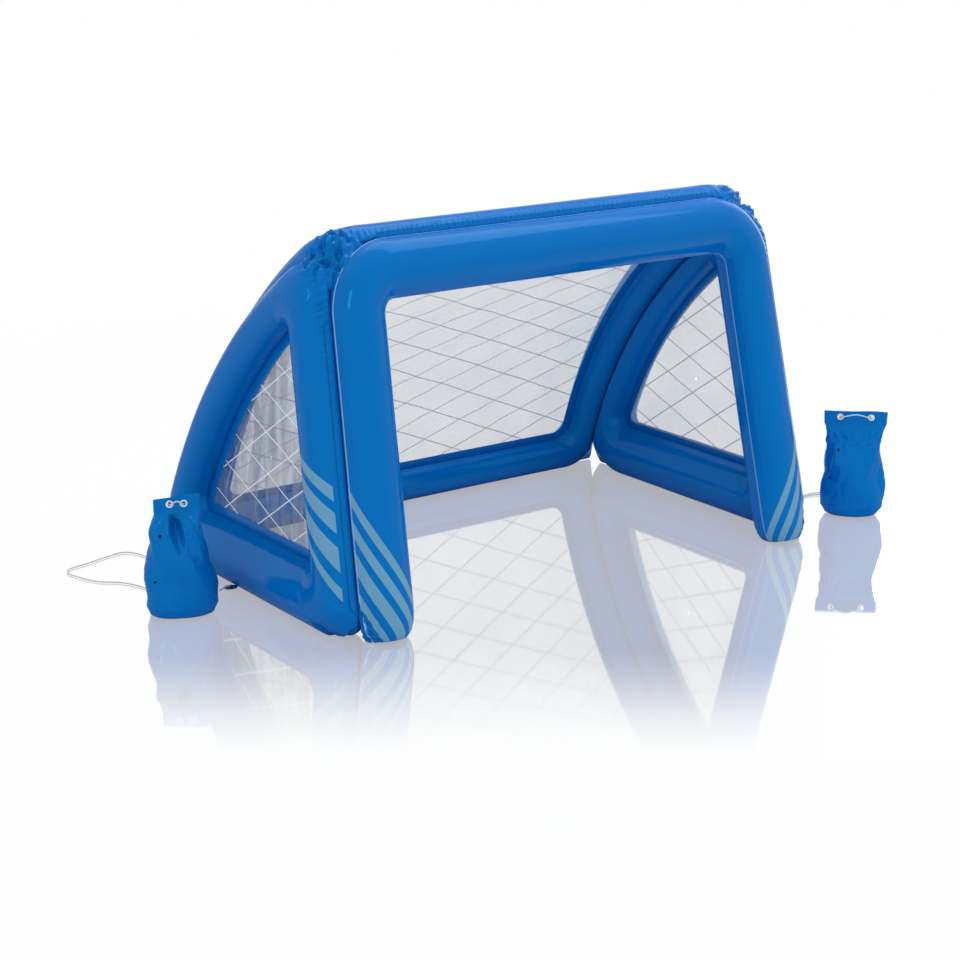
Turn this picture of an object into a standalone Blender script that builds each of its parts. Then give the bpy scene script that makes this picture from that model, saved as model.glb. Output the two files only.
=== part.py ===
"""An inflatable pool goal: four air chambers, three clear windows, valves, and two anchor bags.

Frame: metres, +Z up, +X to the goal's right as seen by a player in front of the mouth, +Y into
the goal. The origin is on the floor, in the middle of the footprint.

Each chamber is a welded vinyl tube that follows the edge of a panel. The front, side and back
panels meet at seams, and neighbouring tubes press flat against each other beside each seam.
A point of a panel has two coordinates in the panel's own pattern and a height h, which counts
towards the inside of the goal.
"""

import bpy
import bmesh
import numpy as np
from math import atan, atan2, cos, hypot, pi, radians, sin, sqrt
from mathutils import Matrix, Vector
from mathutils.bvhtree import BVHTree

# Overall sizes of the goal
HALF_WIDTH_SEAM = 0.638      # front seams, from the middle, at the floor
SEAM_SPLAY = 0.050           # metres that a side comes in for each metre of height
FRONT_LEAN = 0.220           # metres that the mouth leans back for each metre of height
TOP_SEAM_HEIGHT = 0.816
BACK_FOOT_DEPTH = 0.823      # back seam at the floor, behind the front seam at the floor
BACK_CROWN_RADIUS = 1.300    # curve of the back, from the top seam down to the floor
FOOTPRINT_MIDDLE = 0.4051    # middle of the footprint, behind the front seam at the floor

# Tube radii of the chambers
FRONT_TUBE_R = 0.064
SIDE_FRONT_TUBE_R = 0.060
SIDE_BACK_TUBE_R = 0.050
SIDE_FLOOR_TUBE_R = 0.068
BACK_TOP_TUBE_R = 0.048
BACK_SIDE_TUBE_R = 0.052
BACK_FLOOR_TUBE_R = 0.046
WALL = 0.0003                # vinyl sheet
PRESS_GAP = 0.00042          # leaves about 0.6 mm between two pressed walls
FLOOR_FLAT = 0.0055          # how far the floor flattens a side tube
BACK_TUCK = 0.0020           # how far the back seam's edge reaches below the floor, before flattening
SECTION_SIDES = 16

# Corner radii of the panels, at the outer seam and at the inner edge of the tube
FRONT_OUTER_CORNER = 0.150
FRONT_INNER_CORNER = 0.035
SIDE_TOP_OUTER = 0.075
SIDE_TOP_INNER = 0.030
SIDE_REAR_OUTER = 0.120
SIDE_REAR_INNER = 0.030
SIDE_TOE_OUTER = 0.060
SIDE_TOE_INNER = 0.030
BACK_OUTER_CORNER = 0.110
BACK_INNER_CORNER = 0.050

# The foot of each front leg: heights of its rings above the floor and their share of the radius
FOOT_RINGS = ((0.016, 0.88), (0.036, 0.97), (0.065, 1.0))
SOLE_SHARE = 0.66

# Windows
SEAT_GAP = 0.0003
RIM_WIDTH = 0.020
RIM_THICK = 0.0008
FILM_THICK = 0.0004
FILM_LAP = 0.018             # how far the film overlaps its rim

# Seam fins that stand out along the joints of the chambers
FIN_WIDTH = 0.009
TOP_FIN_WIDTH = 0.015
FIN_THICK = 0.0016
FIN_END_GAP = 0.005          # from a fin's end to where a corner starts

# Loose corner sheets over the holes where three chambers meet
GUSSET_R = 0.085
GUSSET_THICK = 0.0006
GUSSET_RINGS = 6
GUSSET_SECTORS = 20
GUSSET_SAG = 0.0004          # how far a point hangs below the points around it
GUSSET_LOOK = 0.200          # how far around the corner the sheet looks for a tube

# Valves
VALVE_HOLE_R = 0.0056
BARREL_R = 0.0050
VALVE_BORE_R = 0.0036
PLUG_STEM_R = 0.0031
VALVE_FLANGE_R = 0.0090
VALVE_FLANGE_THICK = 0.0012
BARREL_DEPTH = 0.0120
BARREL_STAND = 0.0030
PLUG_CAP_R = 0.0058
PLUG_CAP_THICK = 0.0016
PLUG_STEM_LONG = 0.0030      # short enough to swing out of the bore about the strap's hinge
STRAP_WIDTH = 0.0050
STRAP_REACH = 0.0095         # from the valve's axis to the strap's hinge
TURNED_STEPS = 12
FRONT_VALVE_HEIGHT = 0.130
SIDE_VALVE_DEPTH = 0.430
BACK_VALVE_X = 0.300

# Tie tabs beside the side tubes, on the floor
TAB_LONG = 0.032
TAB_WIDE = 0.026
TAB_THICK = 0.0016
TAB_DEPTH = 0.470
TAB_HOLE_R = 0.0040
TIE_RING_R = 0.0075
TIE_RING_BORE_R = 0.0028
TIE_RING_LIP = 0.0010
TAIL_LONG = 0.014            # beyond the tab's end
TAIL_WIDE = 0.005
TAIL_THICK = 0.0008

# Anchor bags: how far each stands out from its side's seam and behind the mouth's foot, how it
# is turned, and how far its top is gathered
BAG_WIDTH = 0.156
BAG_HEIGHT = 0.265
BAG_DEPTH = 0.112
BAG_TAB_THICK = 0.0050
BAG_TAB_HEIGHT = 0.032
BAGS = {
    "left": {"side": -1, "out": 0.215, "back": 0.392, "turn": -24.0, "top": 0.100, "eyelets": 0.030},
    "right": {"side": 1, "out": 0.2195, "back": 0.048, "turn": -43.0, "top": 0.156, "eyelets": 0.076},
}
BAG_SIDES = 20
EYELET_DROP = 0.014          # eyelet centres below the bag's top edge
EYELET_R = 0.0080
EYELET_BARREL_R = 0.0048
EYELET_BORE_R = 0.0034
EYELET_LIP = 0.0012

# Ropes
ROPE_D = 0.0032
KNOT_R = 0.0060

# The panels' directions
LEAN = atan(FRONT_LEAN)
TOP_SEAM = np.array([TOP_SEAM_HEIGHT * FRONT_LEAN, TOP_SEAM_HEIGHT])
BACK_FOOT = np.array([BACK_FOOT_DEPTH, 0.0])
FRONT_TALL = TOP_SEAM_HEIGHT / cos(LEAN)


def back_arc():
    """Centre, first angle and length of the back's arc, from the top seam to the floor."""
    chord = BACK_FOOT - TOP_SEAM
    length = hypot(*chord)
    inside = np.array([chord[1], -chord[0]]) / length
    centre = (TOP_SEAM + BACK_FOOT) / 2 + inside * sqrt(BACK_CROWN_RADIUS ** 2 - length ** 2 / 4)
    first = atan2(*(TOP_SEAM - centre)[::-1])
    last = atan2(*(BACK_FOOT - centre)[::-1])
    return centre, first, (first - last) * BACK_CROWN_RADIUS


BACK_CENTRE, BACK_FIRST, BACK_LONG = back_arc()


# Places: from a panel's pattern to the goal

def front_place(q, h):
    """Pattern (u across, v up the leaning mouth) and height h."""
    z = q[..., 1] * cos(LEAN) - h * sin(LEAN)
    y = q[..., 1] * sin(LEAN) + h * cos(LEAN)
    x = q[..., 0] * (1 - SEAM_SPLAY * z / HALF_WIDTH_SEAM)
    return np.stack([x, y, z], -1)


def side_place(side):
    """Pattern (y, z) in the upright side panel; side is -1 for left and +1 for right."""
    def place(q, h):
        y, z = q[..., 0], q[..., 1]
        return np.stack([side * (HALF_WIDTH_SEAM - SEAM_SPLAY * z - h), y, z], -1)
    return place


def back_place(q, h):
    """Pattern (u across, s down the curved back) and height h inside the curve."""
    angle = BACK_FIRST - q[..., 1] / BACK_CROWN_RADIUS
    reach = BACK_CROWN_RADIUS - h
    y = BACK_CENTRE[0] + reach * np.cos(angle)
    z = BACK_CENTRE[1] + reach * np.sin(angle)
    x = q[..., 0] * (1 - SEAM_SPLAY * z / HALF_WIDTH_SEAM)
    return np.stack([x, y, z], -1)


def depths(p):
    """How far points lie inside the front, side and back panels."""
    front = p[..., 1] * cos(LEAN) - p[..., 2] * sin(LEAN)
    side = HALF_WIDTH_SEAM - SEAM_SPLAY * p[..., 2] - abs(p[..., 0])
    back = BACK_CROWN_RADIUS - np.hypot(p[..., 1] - BACK_CENTRE[0], p[..., 2] - BACK_CENTRE[1])
    return [front, side, back]


# Outlines in the patterns

def arc(centre, radius, start, end, count):
    angles = np.linspace(start, end, count)
    return np.asarray(centre) + radius * np.stack([np.cos(angles), np.sin(angles)], -1)


def between(a, b, count):
    """Points strictly between a and b."""
    share = np.linspace(0, 1, count + 2)[1:-1, None]
    return np.asarray(a) * (1 - share) + np.asarray(b) * share


def front_outline(inset, corner):
    """The inverted U, from the left foot's top ring over the crossbar to the right one."""
    half = HALF_WIDTH_SEAM - inset
    top = FRONT_TALL - inset
    left = arc((-half + corner, top - corner), corner, pi, pi / 2, 7)
    foot = np.array([-half, FOOT_RINGS[-1][0] / cos(LEAN)])
    leg = np.vstack([foot, between(foot, left[0], 4), left])
    bar = between((left[-1][0], top), (-left[-1][0], top), 5)
    return np.vstack([leg, bar, leg[::-1] * (-1, 1)])


def side_outline(front, back, floor, top_corner, rear_corner, toe_corner):
    """The side's closed outline, inset from the front seam, the back seam and the floor."""
    normal = np.array([-cos(LEAN), sin(LEAN)])
    up = np.array([sin(LEAN), cos(LEAN)])
    base = -(front + top_corner) * normal
    reach = BACK_CROWN_RADIUS - back
    gap = base - BACK_CENTRE
    along = gap @ up
    rise = -along + sqrt(along ** 2 - gap @ gap + (reach - top_corner) ** 2)
    top = base + rise * up
    low = floor - FLOOR_FLAT
    rear_z = low + rear_corner
    rear_y = BACK_CENTRE[0] + sqrt((reach - rear_corner) ** 2 - (rear_z - BACK_CENTRE[1]) ** 2)
    rear = np.array([rear_y, rear_z])
    toe_z = low + toe_corner
    toe = np.array([(front + toe_corner + toe_z * sin(LEAN)) / cos(LEAN), toe_z])
    top_turn = atan2(*(top - BACK_CENTRE)[::-1])
    rear_turn = atan2(*(rear - BACK_CENTRE)[::-1])
    toe_arc = arc(toe, toe_corner, 3 * pi / 2, pi - LEAN, 5)
    top_arc = arc(top, top_corner, pi - LEAN, top_turn, 6)
    back_arc_points = arc(BACK_CENTRE, reach, top_turn, rear_turn, 12)[1:-1]
    rear_arc = arc(rear, rear_corner, rear_turn, -pi / 2, 6)
    return np.vstack([
        toe_arc,
        between(toe_arc[-1], top_arc[0], 4),
        top_arc,
        back_arc_points,
        rear_arc,
        between(rear_arc[-1], toe_arc[0], 3),
    ])


def back_outline(top, side, floor, corner):
    """The back's closed outline in (u, s), inset from the top seam, the sides and the floor."""
    half = HALF_WIDTH_SEAM - side
    high = top
    low = BACK_LONG + BACK_TUCK - floor
    first = arc((-half + corner, high + corner), corner, -pi / 2, -pi, 5)
    second = arc((-half + corner, low - corner), corner, pi, pi / 2, 5)
    left = np.vstack([first, between(first[-1], second[0], 9), second])
    right = left[::-1] * (-1, 1)
    return np.vstack([left, between(left[-1], right[0], 5), right, between(right[-1], left[0], 5)])


# Meshes

def linear(colour):
    """An sRGB hex colour as linear red, green and blue."""
    parts = [int(colour[i:i + 2], 16) / 255 for i in (1, 3, 5)]
    return [c / 12.92 if c <= 0.04045 else ((c + 0.055) / 1.055) ** 2.4 for c in parts]


def material(name, colour, roughness, alpha=1.0):
    result = bpy.data.materials.new(name)
    result.use_nodes = True
    shader = result.node_tree.nodes["Principled BSDF"]
    shader.inputs["Base Color"].default_value = (*linear(colour), 1)
    shader.inputs["Roughness"].default_value = roughness
    shader.inputs["Alpha"].default_value = alpha
    result.diffuse_color = (*linear(colour), alpha)
    return result


def add_object(name, mesh, finish, parent, collection="pool_goal"):
    mesh.name = name
    obj = bpy.data.objects.new(name, mesh)
    obj.parent = parent
    if finish:
        mesh.materials.append(finish)
        mesh.shade_smooth()
        mesh.set_sharp_from_angle(angle=radians(40))
    bpy.data.collections[collection].objects.link(obj)
    return obj


def cutter(name, mesh, parent):
    obj = add_object(name, mesh, None, parent, "cutters")
    obj.hide_render = True
    obj.display_type = "WIRE"
    return obj


def cut(obj, tool):
    modifier = obj.modifiers.new(tool.name, "BOOLEAN")
    modifier.operation = "DIFFERENCE"
    modifier.solver = "EXACT"
    modifier.object = tool


def loft(rings, closed, inward=False):
    """A closed mesh over rings of points: a loop of rings, or a run of rings with end caps."""
    count, sides = rings.shape[:2]
    step = np.arange(count if closed else count - 1)[:, None] * sides
    here = step + np.arange(sides)
    across = step + (np.arange(sides) + 1) % sides
    total = count * sides
    quads = np.stack([here, across, (across + sides) % total, (here + sides) % total], -1)
    faces = [tuple(face) for face in quads.reshape(-1, 4).tolist()]
    if not closed:
        faces.append(tuple(range(sides)))
        faces.append(tuple(range(total - 1, total - sides - 1, -1)))
    mesh = bpy.data.meshes.new("loft")
    mesh.from_pydata(rings.reshape(-1, 3).tolist(), [], faces)
    shape = bmesh.new()
    shape.from_mesh(mesh)
    bmesh.ops.recalc_face_normals(shape, faces=shape.faces)
    if inward:
        bmesh.ops.reverse_faces(shape, faces=shape.faces)
    shape.to_mesh(mesh)
    shape.free()
    return mesh


def joined(meshes):
    """One mesh that holds several."""
    shape = bmesh.new()
    for mesh in meshes:
        shape.from_mesh(mesh)
    result = bpy.data.meshes.new("joined")
    shape.to_mesh(result)
    shape.free()
    for mesh in meshes:
        bpy.data.meshes.remove(mesh)
    return result


def tube_rings(outer, inner, place, own, closed, wall=0.0):
    """Sections of a tube between two outlines of one panel.

    A section is an ellipse over the segment from the inner to the outer outline, as high as
    the tube is wide when it is measured square to its run. Where a section would
    reach past the plane that halves the corner with the next panel, it is drawn in towards its
    middle until it lies on its own panel's side: there the two tubes press on each other.
    wall draws the whole section in, for the inside of the vinyl.
    """
    turn = 2 * pi * np.arange(SECTION_SIDES) / SECTION_SIDES
    middle = (outer + inner) / 2
    reach = (outer - inner) / 2
    ahead = np.roll(middle, -1, 0)
    behind = np.roll(middle, 1, 0)
    if not closed:
        ahead[-1] = middle[-1]
        behind[0] = middle[0]
    run = (ahead - behind) / np.linalg.norm(ahead - behind, axis=-1, keepdims=True)
    radius = abs(reach[:, 0] * run[:, 1] - reach[:, 1] * run[:, 0])[:, None]
    middle = middle[:, None]
    reach = reach[:, None]

    def points(share):
        flat = middle + reach * (np.cos(turn) * share)[..., None]
        return place(flat, radius * np.sin(turn) * share)

    def free(share):
        near = depths(points(share))
        mine = near.pop(own)
        return mine <= np.minimum(*near) - PRESS_GAP

    low = np.zeros((len(outer), SECTION_SIDES))
    high = np.ones_like(low)
    whole = free(high)
    for _ in range(30):
        half = (low + high) / 2
        fits = free(half)
        low = np.where(fits, half, low)
        high = np.where(fits, high, half)
    share = np.where(whole, 1.0, low) - wall / radius
    rings = points(share)
    rings[..., 2] = np.maximum(rings[..., 2], wall)
    return rings


def front_rings(wall=0.0):
    """The front chamber's sections, from the left sole over the crossbar to the right sole."""
    outer = front_outline(0.0, FRONT_OUTER_CORNER)
    inner = front_outline(2 * FRONT_TUBE_R, FRONT_INNER_CORNER)
    middle = -HALF_WIDTH_SEAM + FRONT_TUBE_R
    high, share = np.array(FOOT_RINGS[:-1]).T
    out = np.stack([middle - FRONT_TUBE_R * share, high / cos(LEAN)], -1)
    across = np.stack([middle + FRONT_TUBE_R * share, high / cos(LEAN)], -1)
    outer = np.vstack([out, outer, out[::-1] * (-1, 1)])
    inner = np.vstack([across, inner, across[::-1] * (-1, 1)])
    body = tube_rings(outer, inner, front_place, 0, False, wall)
    turn = 2 * pi * np.arange(SECTION_SIDES) / SECTION_SIDES
    small = FRONT_TUBE_R * SOLE_SHARE - wall
    sole = np.stack([middle - small * np.cos(turn), small * np.sin(turn), 0 * turn + wall], -1)
    return np.concatenate([[sole], body, [sole * (-1, 1, 1)]])


def side_rings(side, wall=0.0):
    outer = side_outline(0, 0, 0, SIDE_TOP_OUTER, SIDE_REAR_OUTER, SIDE_TOE_OUTER)
    inner = side_outline(*side_insets(), SIDE_TOP_INNER, SIDE_REAR_INNER, SIDE_TOE_INNER)
    return tube_rings(outer, inner, side_place(side), 1, True, wall)


def side_insets(more=0.0):
    """Insets of the side's window edge from the front seam, the back seam and the floor."""
    return [2 * r + more for r in (SIDE_FRONT_TUBE_R, SIDE_BACK_TUBE_R, SIDE_FLOOR_TUBE_R)]


def back_rings(wall=0.0):
    outer = back_outline(0, 0, 0, BACK_OUTER_CORNER)
    inner = back_outline(*back_insets(), BACK_INNER_CORNER)
    return tube_rings(outer, inner, back_place, 2, True, wall)


def back_insets(more=0.0):
    """Insets of the back's window edge from the top seam, the sides and the floor."""
    return [2 * r + more for r in (BACK_TOP_TUBE_R, BACK_SIDE_TUBE_R, BACK_FLOOR_TUBE_R)]


def chamber(name, rings, closed, finish, parent):
    """A chamber's vinyl: its outer skin and, a wall further in, its inner skin."""
    skins = [loft(rings(), closed), loft(rings(WALL), closed, inward=True)]
    return add_object(name, joined(skins), finish, parent)


def solidify(obj, thickness):
    modifier = obj.modifiers.new("thickness", "SOLIDIFY")
    modifier.thickness = thickness
    modifier.offset = 0
    return obj


def band(name, outer, inner, place, finish, parent):
    """A flat closed strip between two outlines of a panel, thickened both ways."""
    count = len(outer)
    verts = place(np.vstack([outer, inner]), np.zeros(2 * count))
    faces = [(i, (i + 1) % count, (i + 1) % count + count, i + count) for i in range(count)]
    mesh = bpy.data.meshes.new(name)
    mesh.from_pydata(verts.tolist(), [], faces)
    return solidify(add_object(name, mesh, finish, parent), RIM_THICK)


def ribbon(name, edge, away, width, finish, parent):
    """A seam fin: a strip that stands out from a seam along its own direction."""
    start = edge + away * FIN_THICK / 2
    end = start + away * width
    count = len(edge)
    faces = [(i, i + 1, i + 1 + count, i + count) for i in range(count - 1)]
    mesh = bpy.data.meshes.new(name)
    mesh.from_pydata(np.vstack([start, end]).tolist(), [], faces)
    return solidify(add_object(name, mesh, finish, parent), FIN_THICK)


# Windows

def side_window(side, word, blue, clear, parent):
    place = side_place(side)
    rim_out = side_outline(*side_insets(SEAT_GAP), *inner_corners(SEAT_GAP))
    rim_in = side_outline(*side_insets(RIM_WIDTH), *inner_corners(RIM_WIDTH))
    band(f"{word}_window_rim", rim_out, rim_in, place, blue, parent)
    lap = RIM_WIDTH - FILM_LAP
    edge = side_outline(*side_insets(lap), *inner_corners(lap))
    height = RIM_THICK / 2 + SEAT_GAP + FILM_THICK / 2
    verts = place(edge, np.full(len(edge), height))
    mesh = bpy.data.meshes.new("film")
    mesh.from_pydata(verts.tolist(), [], [tuple(range(len(edge)))])
    solidify(add_object(f"{word}_window_film", mesh, clear, parent), FILM_THICK)


def inner_corners(inset):
    """Corner radii of the side window's edge, that far in from the tube."""
    least = 0.010
    return [max(r - inset, least) for r in (SIDE_TOP_INNER, SIDE_REAR_INNER, SIDE_TOE_INNER)]


def back_window(blue, clear, parent):
    rim_out = back_outline(*back_insets(SEAT_GAP), BACK_INNER_CORNER - SEAT_GAP)
    rim_in = back_outline(*back_insets(RIM_WIDTH), BACK_INNER_CORNER - RIM_WIDTH)
    band("back_window_rim", rim_out, rim_in, back_place, blue, parent)
    lap = RIM_WIDTH - FILM_LAP
    edge = back_outline(*back_insets(lap), BACK_INNER_CORNER - lap)
    left = edge[:len(edge) // 2 - 5]
    rows = np.stack([left, left * (-1, 1)], 1)
    height = RIM_THICK / 2 + SEAT_GAP + FILM_THICK / 2
    verts = back_place(rows.reshape(-1, 2), np.full(2 * len(left), height))
    faces = [(2 * i, 2 * i + 1, 2 * i + 3, 2 * i + 2) for i in range(len(left) - 1)]
    mesh = bpy.data.meshes.new("film")
    mesh.from_pydata(verts.tolist(), [], faces)
    solidify(add_object("back_window_film", mesh, clear, parent), FILM_THICK)


# Seam fins

def back_outward(q):
    """Unit outward normals of the back panel at pattern points."""
    step = back_place(q, np.full(len(q), -0.001)) - back_place(q, np.zeros(len(q)))
    return step / np.linalg.norm(step, axis=-1, keepdims=True)


def seam_fins(blue, parent):
    ahead = np.array([0, -cos(LEAN), sin(LEAN)])
    foot = FOOT_RINGS[-1][0] / cos(LEAN) + FIN_END_GAP
    up = np.linspace(foot, FRONT_TALL - FRONT_OUTER_CORNER - FIN_END_GAP, 10)
    start = max(BACK_OUTER_CORNER, GUSSET_R) + FIN_END_GAP
    down = np.linspace(start, BACK_LONG - SIDE_REAR_OUTER - 3 * FIN_END_GAP, 14)
    for side, word in ((-1, "left"), (1, "right")):
        beside = np.array([side, 0, 0])
        seam = np.stack([np.full(len(up), side * HALF_WIDTH_SEAM), up], -1)
        away = np.tile((ahead + beside) / sqrt(2), (len(up), 1))
        front = front_place(seam, np.zeros(len(up)))
        ribbon(f"{word}_front_seam", front, away, FIN_WIDTH, blue, parent)
        seam = np.stack([np.full(len(down), side * HALF_WIDTH_SEAM), down], -1)
        away = back_outward(seam) + beside
        away = away / np.linalg.norm(away, axis=-1, keepdims=True)
        back = back_place(seam, np.zeros(len(down)))
        ribbon(f"{word}_back_seam", back, away, FIN_WIDTH, blue, parent)
    reach = HALF_WIDTH_SEAM - FRONT_OUTER_CORNER
    across = np.linspace(-reach, reach, 12)
    seam = np.stack([across, np.zeros(len(across))], -1)
    away = back_outward(seam) + ahead
    away = away / np.linalg.norm(away, axis=-1, keepdims=True)
    top = back_place(seam, np.zeros(len(across)))
    ribbon("top_seam", top, away, TOP_FIN_WIDTH, blue, parent)


# Corner sheets

def corner_gusset(side, word, chambers, blue, parent):
    """A loose sheet over the hole where the rounded corners of three chambers meet.

    It is laid like a cloth on a disc of points: each point comes down towards the corner until
    it lies on a tube or hangs from the points around it.
    """
    trees = []
    for obj in chambers:
        mesh = obj.data
        faces = [tuple(polygon.vertices) for polygon in mesh.polygons]
        trees.append(BVHTree.FromPolygons([v.co for v in mesh.vertices], faces))
    splay = side * (HALF_WIDTH_SEAM - SEAM_SPLAY * TOP_SEAM_HEIGHT)
    corner = Vector((splay, TOP_SEAM[0], TOP_SEAM[1]))
    front = Vector((0, -cos(LEAN), sin(LEAN)))
    back = Vector((0, cos(BACK_FIRST), sin(BACK_FIRST)))
    out = (front + back + Vector((side, 0, SEAM_SPLAY))).normalized()
    across = out.cross(Vector((0, 0, 1))).normalized()
    up = across.cross(out)

    def skin(a, b):
        start = corner + across * a + up * b + out * GUSSET_LOOK
        found = [tree.ray_cast(start, -out, 2 * GUSSET_LOOK)[3] for tree in trees]
        return GUSSET_LOOK - min((d for d in found if d is not None), default=2 * GUSSET_LOOK)

    rings = np.arange(1, GUSSET_RINGS + 1)[:, None] * GUSSET_R / GUSSET_RINGS
    turn = 2 * pi * np.arange(GUSSET_SECTORS) / GUSSET_SECTORS
    a = rings * np.cos(turn)
    b = rings * np.sin(turn)
    seat = 2.0 * (GUSSET_THICK / 2 + SEAT_GAP)
    least = np.array([[skin(*point) for point in zip(*row)] for row in zip(a, b)]) + seat
    height = least.copy()
    for _ in range(400):
        middle = height[0].mean()
        inner = np.vstack([np.full(GUSSET_SECTORS, middle), height[:-1]])
        outer = np.vstack([height[1:], height[-1:]])
        beside = np.roll(height, 1, 1) + np.roll(height, -1, 1)
        height = np.maximum(least, (inner + outer + beside) / 4 - GUSSET_SAG)

    # Where a face still cuts a tube between its own points, its corners are lifted
    corners = [(i, j, i, (j + 1) % GUSSET_SECTORS, i + 1, (j + 1) % GUSSET_SECTORS, i + 1, j)
               for i in range(GUSSET_RINGS - 1) for j in range(GUSSET_SECTORS)]
    for _ in range(6):
        for face in corners:
            rows, columns = list(face[0::2]), list(face[1::2])
            lift = 0.0
            for w in ((1, 1, 1, 1), (1, 1, 0, 0), (0, 1, 1, 0), (0, 0, 1, 1), (1, 0, 0, 1),
                      (1, 0, 1, 0), (0, 1, 0, 1)):
                share = np.array(w) / sum(w)
                low = skin(a[rows, columns] @ share, b[rows, columns] @ share) + seat
                lift = max(lift, low - height[rows, columns] @ share)
            height[rows, columns] += lift
    middle = max(height[0].mean(), skin(0, 0) + seat)
    verts = [corner + out * middle]
    for x, y, z in zip(a.ravel(), b.ravel(), height.ravel()):
        verts.append(corner + across * x + up * y + out * z)
    count = GUSSET_SECTORS
    faces = [(0, 1 + j, 1 + (j + 1) % count) for j in range(count)]
    for i, j, _, after, *_ in corners:
        row = 1 + i * count
        faces.append((row + j, row + count + j, row + count + after, row + after))
    mesh = bpy.data.meshes.new("gusset")
    mesh.from_pydata(verts, [], faces)
    solidify(add_object(f"{word}_corner_gusset", mesh, blue, parent), GUSSET_THICK)


# Turned pieces and valves

def turned(name, profile, finish, parent):
    """A solid of revolution about its own Z, from (radius, height) points."""
    mesh = bpy.data.meshes.new(name)
    verts = [(r, 0, z) for r, z in profile]
    solid = profile[0][0] == 0
    count = len(profile)
    edges = [(i, (i + 1) % count) for i in range(count - 1 if solid else count)]
    mesh.from_pydata(verts, edges, [])
    obj = add_object(name, mesh, finish, parent)
    modifier = obj.modifiers.new("turn", "SCREW")
    modifier.steps = TURNED_STEPS
    modifier.render_steps = TURNED_STEPS
    modifier.use_merge_vertices = True
    modifier.merge_threshold = 0.00001
    return obj


def cylinder(radius, low, high):
    shape = bmesh.new()
    middle = Matrix.Translation((0, 0, (low + high) / 2))
    bmesh.ops.create_cone(shape, cap_ends=True, segments=TURNED_STEPS, radius1=radius,
                          radius2=radius, depth=high - low, matrix=middle)
    mesh = bpy.data.meshes.new("cylinder")
    shape.to_mesh(mesh)
    shape.free()
    return mesh


def frame_at(point, axis, up=(0, 0, 1)):
    """A matrix at a point whose Z is the axis and whose Y is as near to up as it can be."""
    z = Vector(axis).normalized()
    x = Vector(up).cross(z).normalized()
    y = z.cross(x)
    return Matrix.Translation(point) @ Matrix((x, y, z)).transposed().to_4x4()


def wall_point(place, middle, radius, run):
    """A point of a tube's wall and the direction square out of it.

    All three are (pattern, pattern, h): a point of the tube's middle line, the step from it to
    the wall, and the direction in which the tube runs.
    """
    def to_goal(point):
        point = np.asarray(point, float)
        return place(point[None, :2], point[None, 2])[0]

    middle, radius, run = np.asarray(middle), np.asarray(radius), np.asarray(run)
    point = to_goal(middle + radius)
    out = point - to_goal(middle)
    along = to_goal(middle + radius + 0.001 * run) - to_goal(middle + radius - 0.001 * run)
    along = along / np.linalg.norm(along)
    return point, out - along * (out @ along)


def valve(name, skin, point, axis, finish, parent):
    """A valve through a chamber's wall: a welded base, and a plug on a strap hinged above it."""
    home = bpy.data.objects.new(f"{name}_place", None)
    bpy.data.collections["pool_goal"].objects.link(home)
    home.parent = parent
    home.matrix_local = frame_at(point, axis)
    low = SEAT_GAP
    shoulder = low + VALVE_FLANGE_THICK
    top = shoulder + BARREL_STAND
    turned(f"{name}_base", [
        (VALVE_BORE_R, top), (BARREL_R, top), (BARREL_R, shoulder), (VALVE_FLANGE_R, shoulder),
        (VALVE_FLANGE_R, low), (BARREL_R, low), (BARREL_R, -BARREL_DEPTH),
        (VALVE_BORE_R, -BARREL_DEPTH),
    ], finish, home)
    hole = cutter(f"{name}_hole", cylinder(VALVE_HOLE_R, -BARREL_DEPTH, BARREL_DEPTH), home)
    cut(skin, hole)
    plug_home = bpy.data.objects.new(f"{name}_hinge", None)
    bpy.data.collections["pool_goal"].objects.link(plug_home)
    plug_home.parent = home
    lid = top + SEAT_GAP
    plug_home.location = (0, STRAP_REACH, lid)
    plug = turned(f"{name}_plug", [
        (0, PLUG_CAP_THICK), (PLUG_CAP_R, PLUG_CAP_THICK), (PLUG_CAP_R, 0), (PLUG_STEM_R, 0),
        (PLUG_STEM_R, -PLUG_STEM_LONG), (0, -PLUG_STEM_LONG),
    ], finish, plug_home)
    plug.location = (0, -STRAP_REACH, 0)
    strap = bmesh.new()
    bmesh.ops.create_cube(strap, size=1)
    start = PLUG_CAP_R / 2
    size = Vector((STRAP_WIDTH, STRAP_REACH - start, PLUG_CAP_THICK * 0.6))
    bmesh.ops.scale(strap, vec=size, verts=strap.verts)
    centre = Vector((0, (STRAP_REACH + start) / 2, PLUG_CAP_THICK / 2))
    bmesh.ops.translate(strap, vec=centre, verts=strap.verts)
    mesh = bpy.data.meshes.new(f"{name}_strap")
    strap.to_mesh(mesh)
    strap.free()
    tool = cutter(f"{name}_strap", mesh, plug)
    modifier = plug.modifiers.new("strap", "BOOLEAN")
    modifier.operation = "UNION"
    modifier.solver = "EXACT"
    modifier.object = tool


# Tie tabs

def plate(name, outline, low, thick, finish, parent):
    """A flat plate over a closed outline of (x, y) points."""
    mesh = bpy.data.meshes.new(name)
    verts = [(x, y, low + thick / 2) for x, y in outline]
    mesh.from_pydata(verts, [], [tuple(range(len(verts)))])
    return solidify(add_object(name, mesh, finish, parent), thick)


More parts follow.
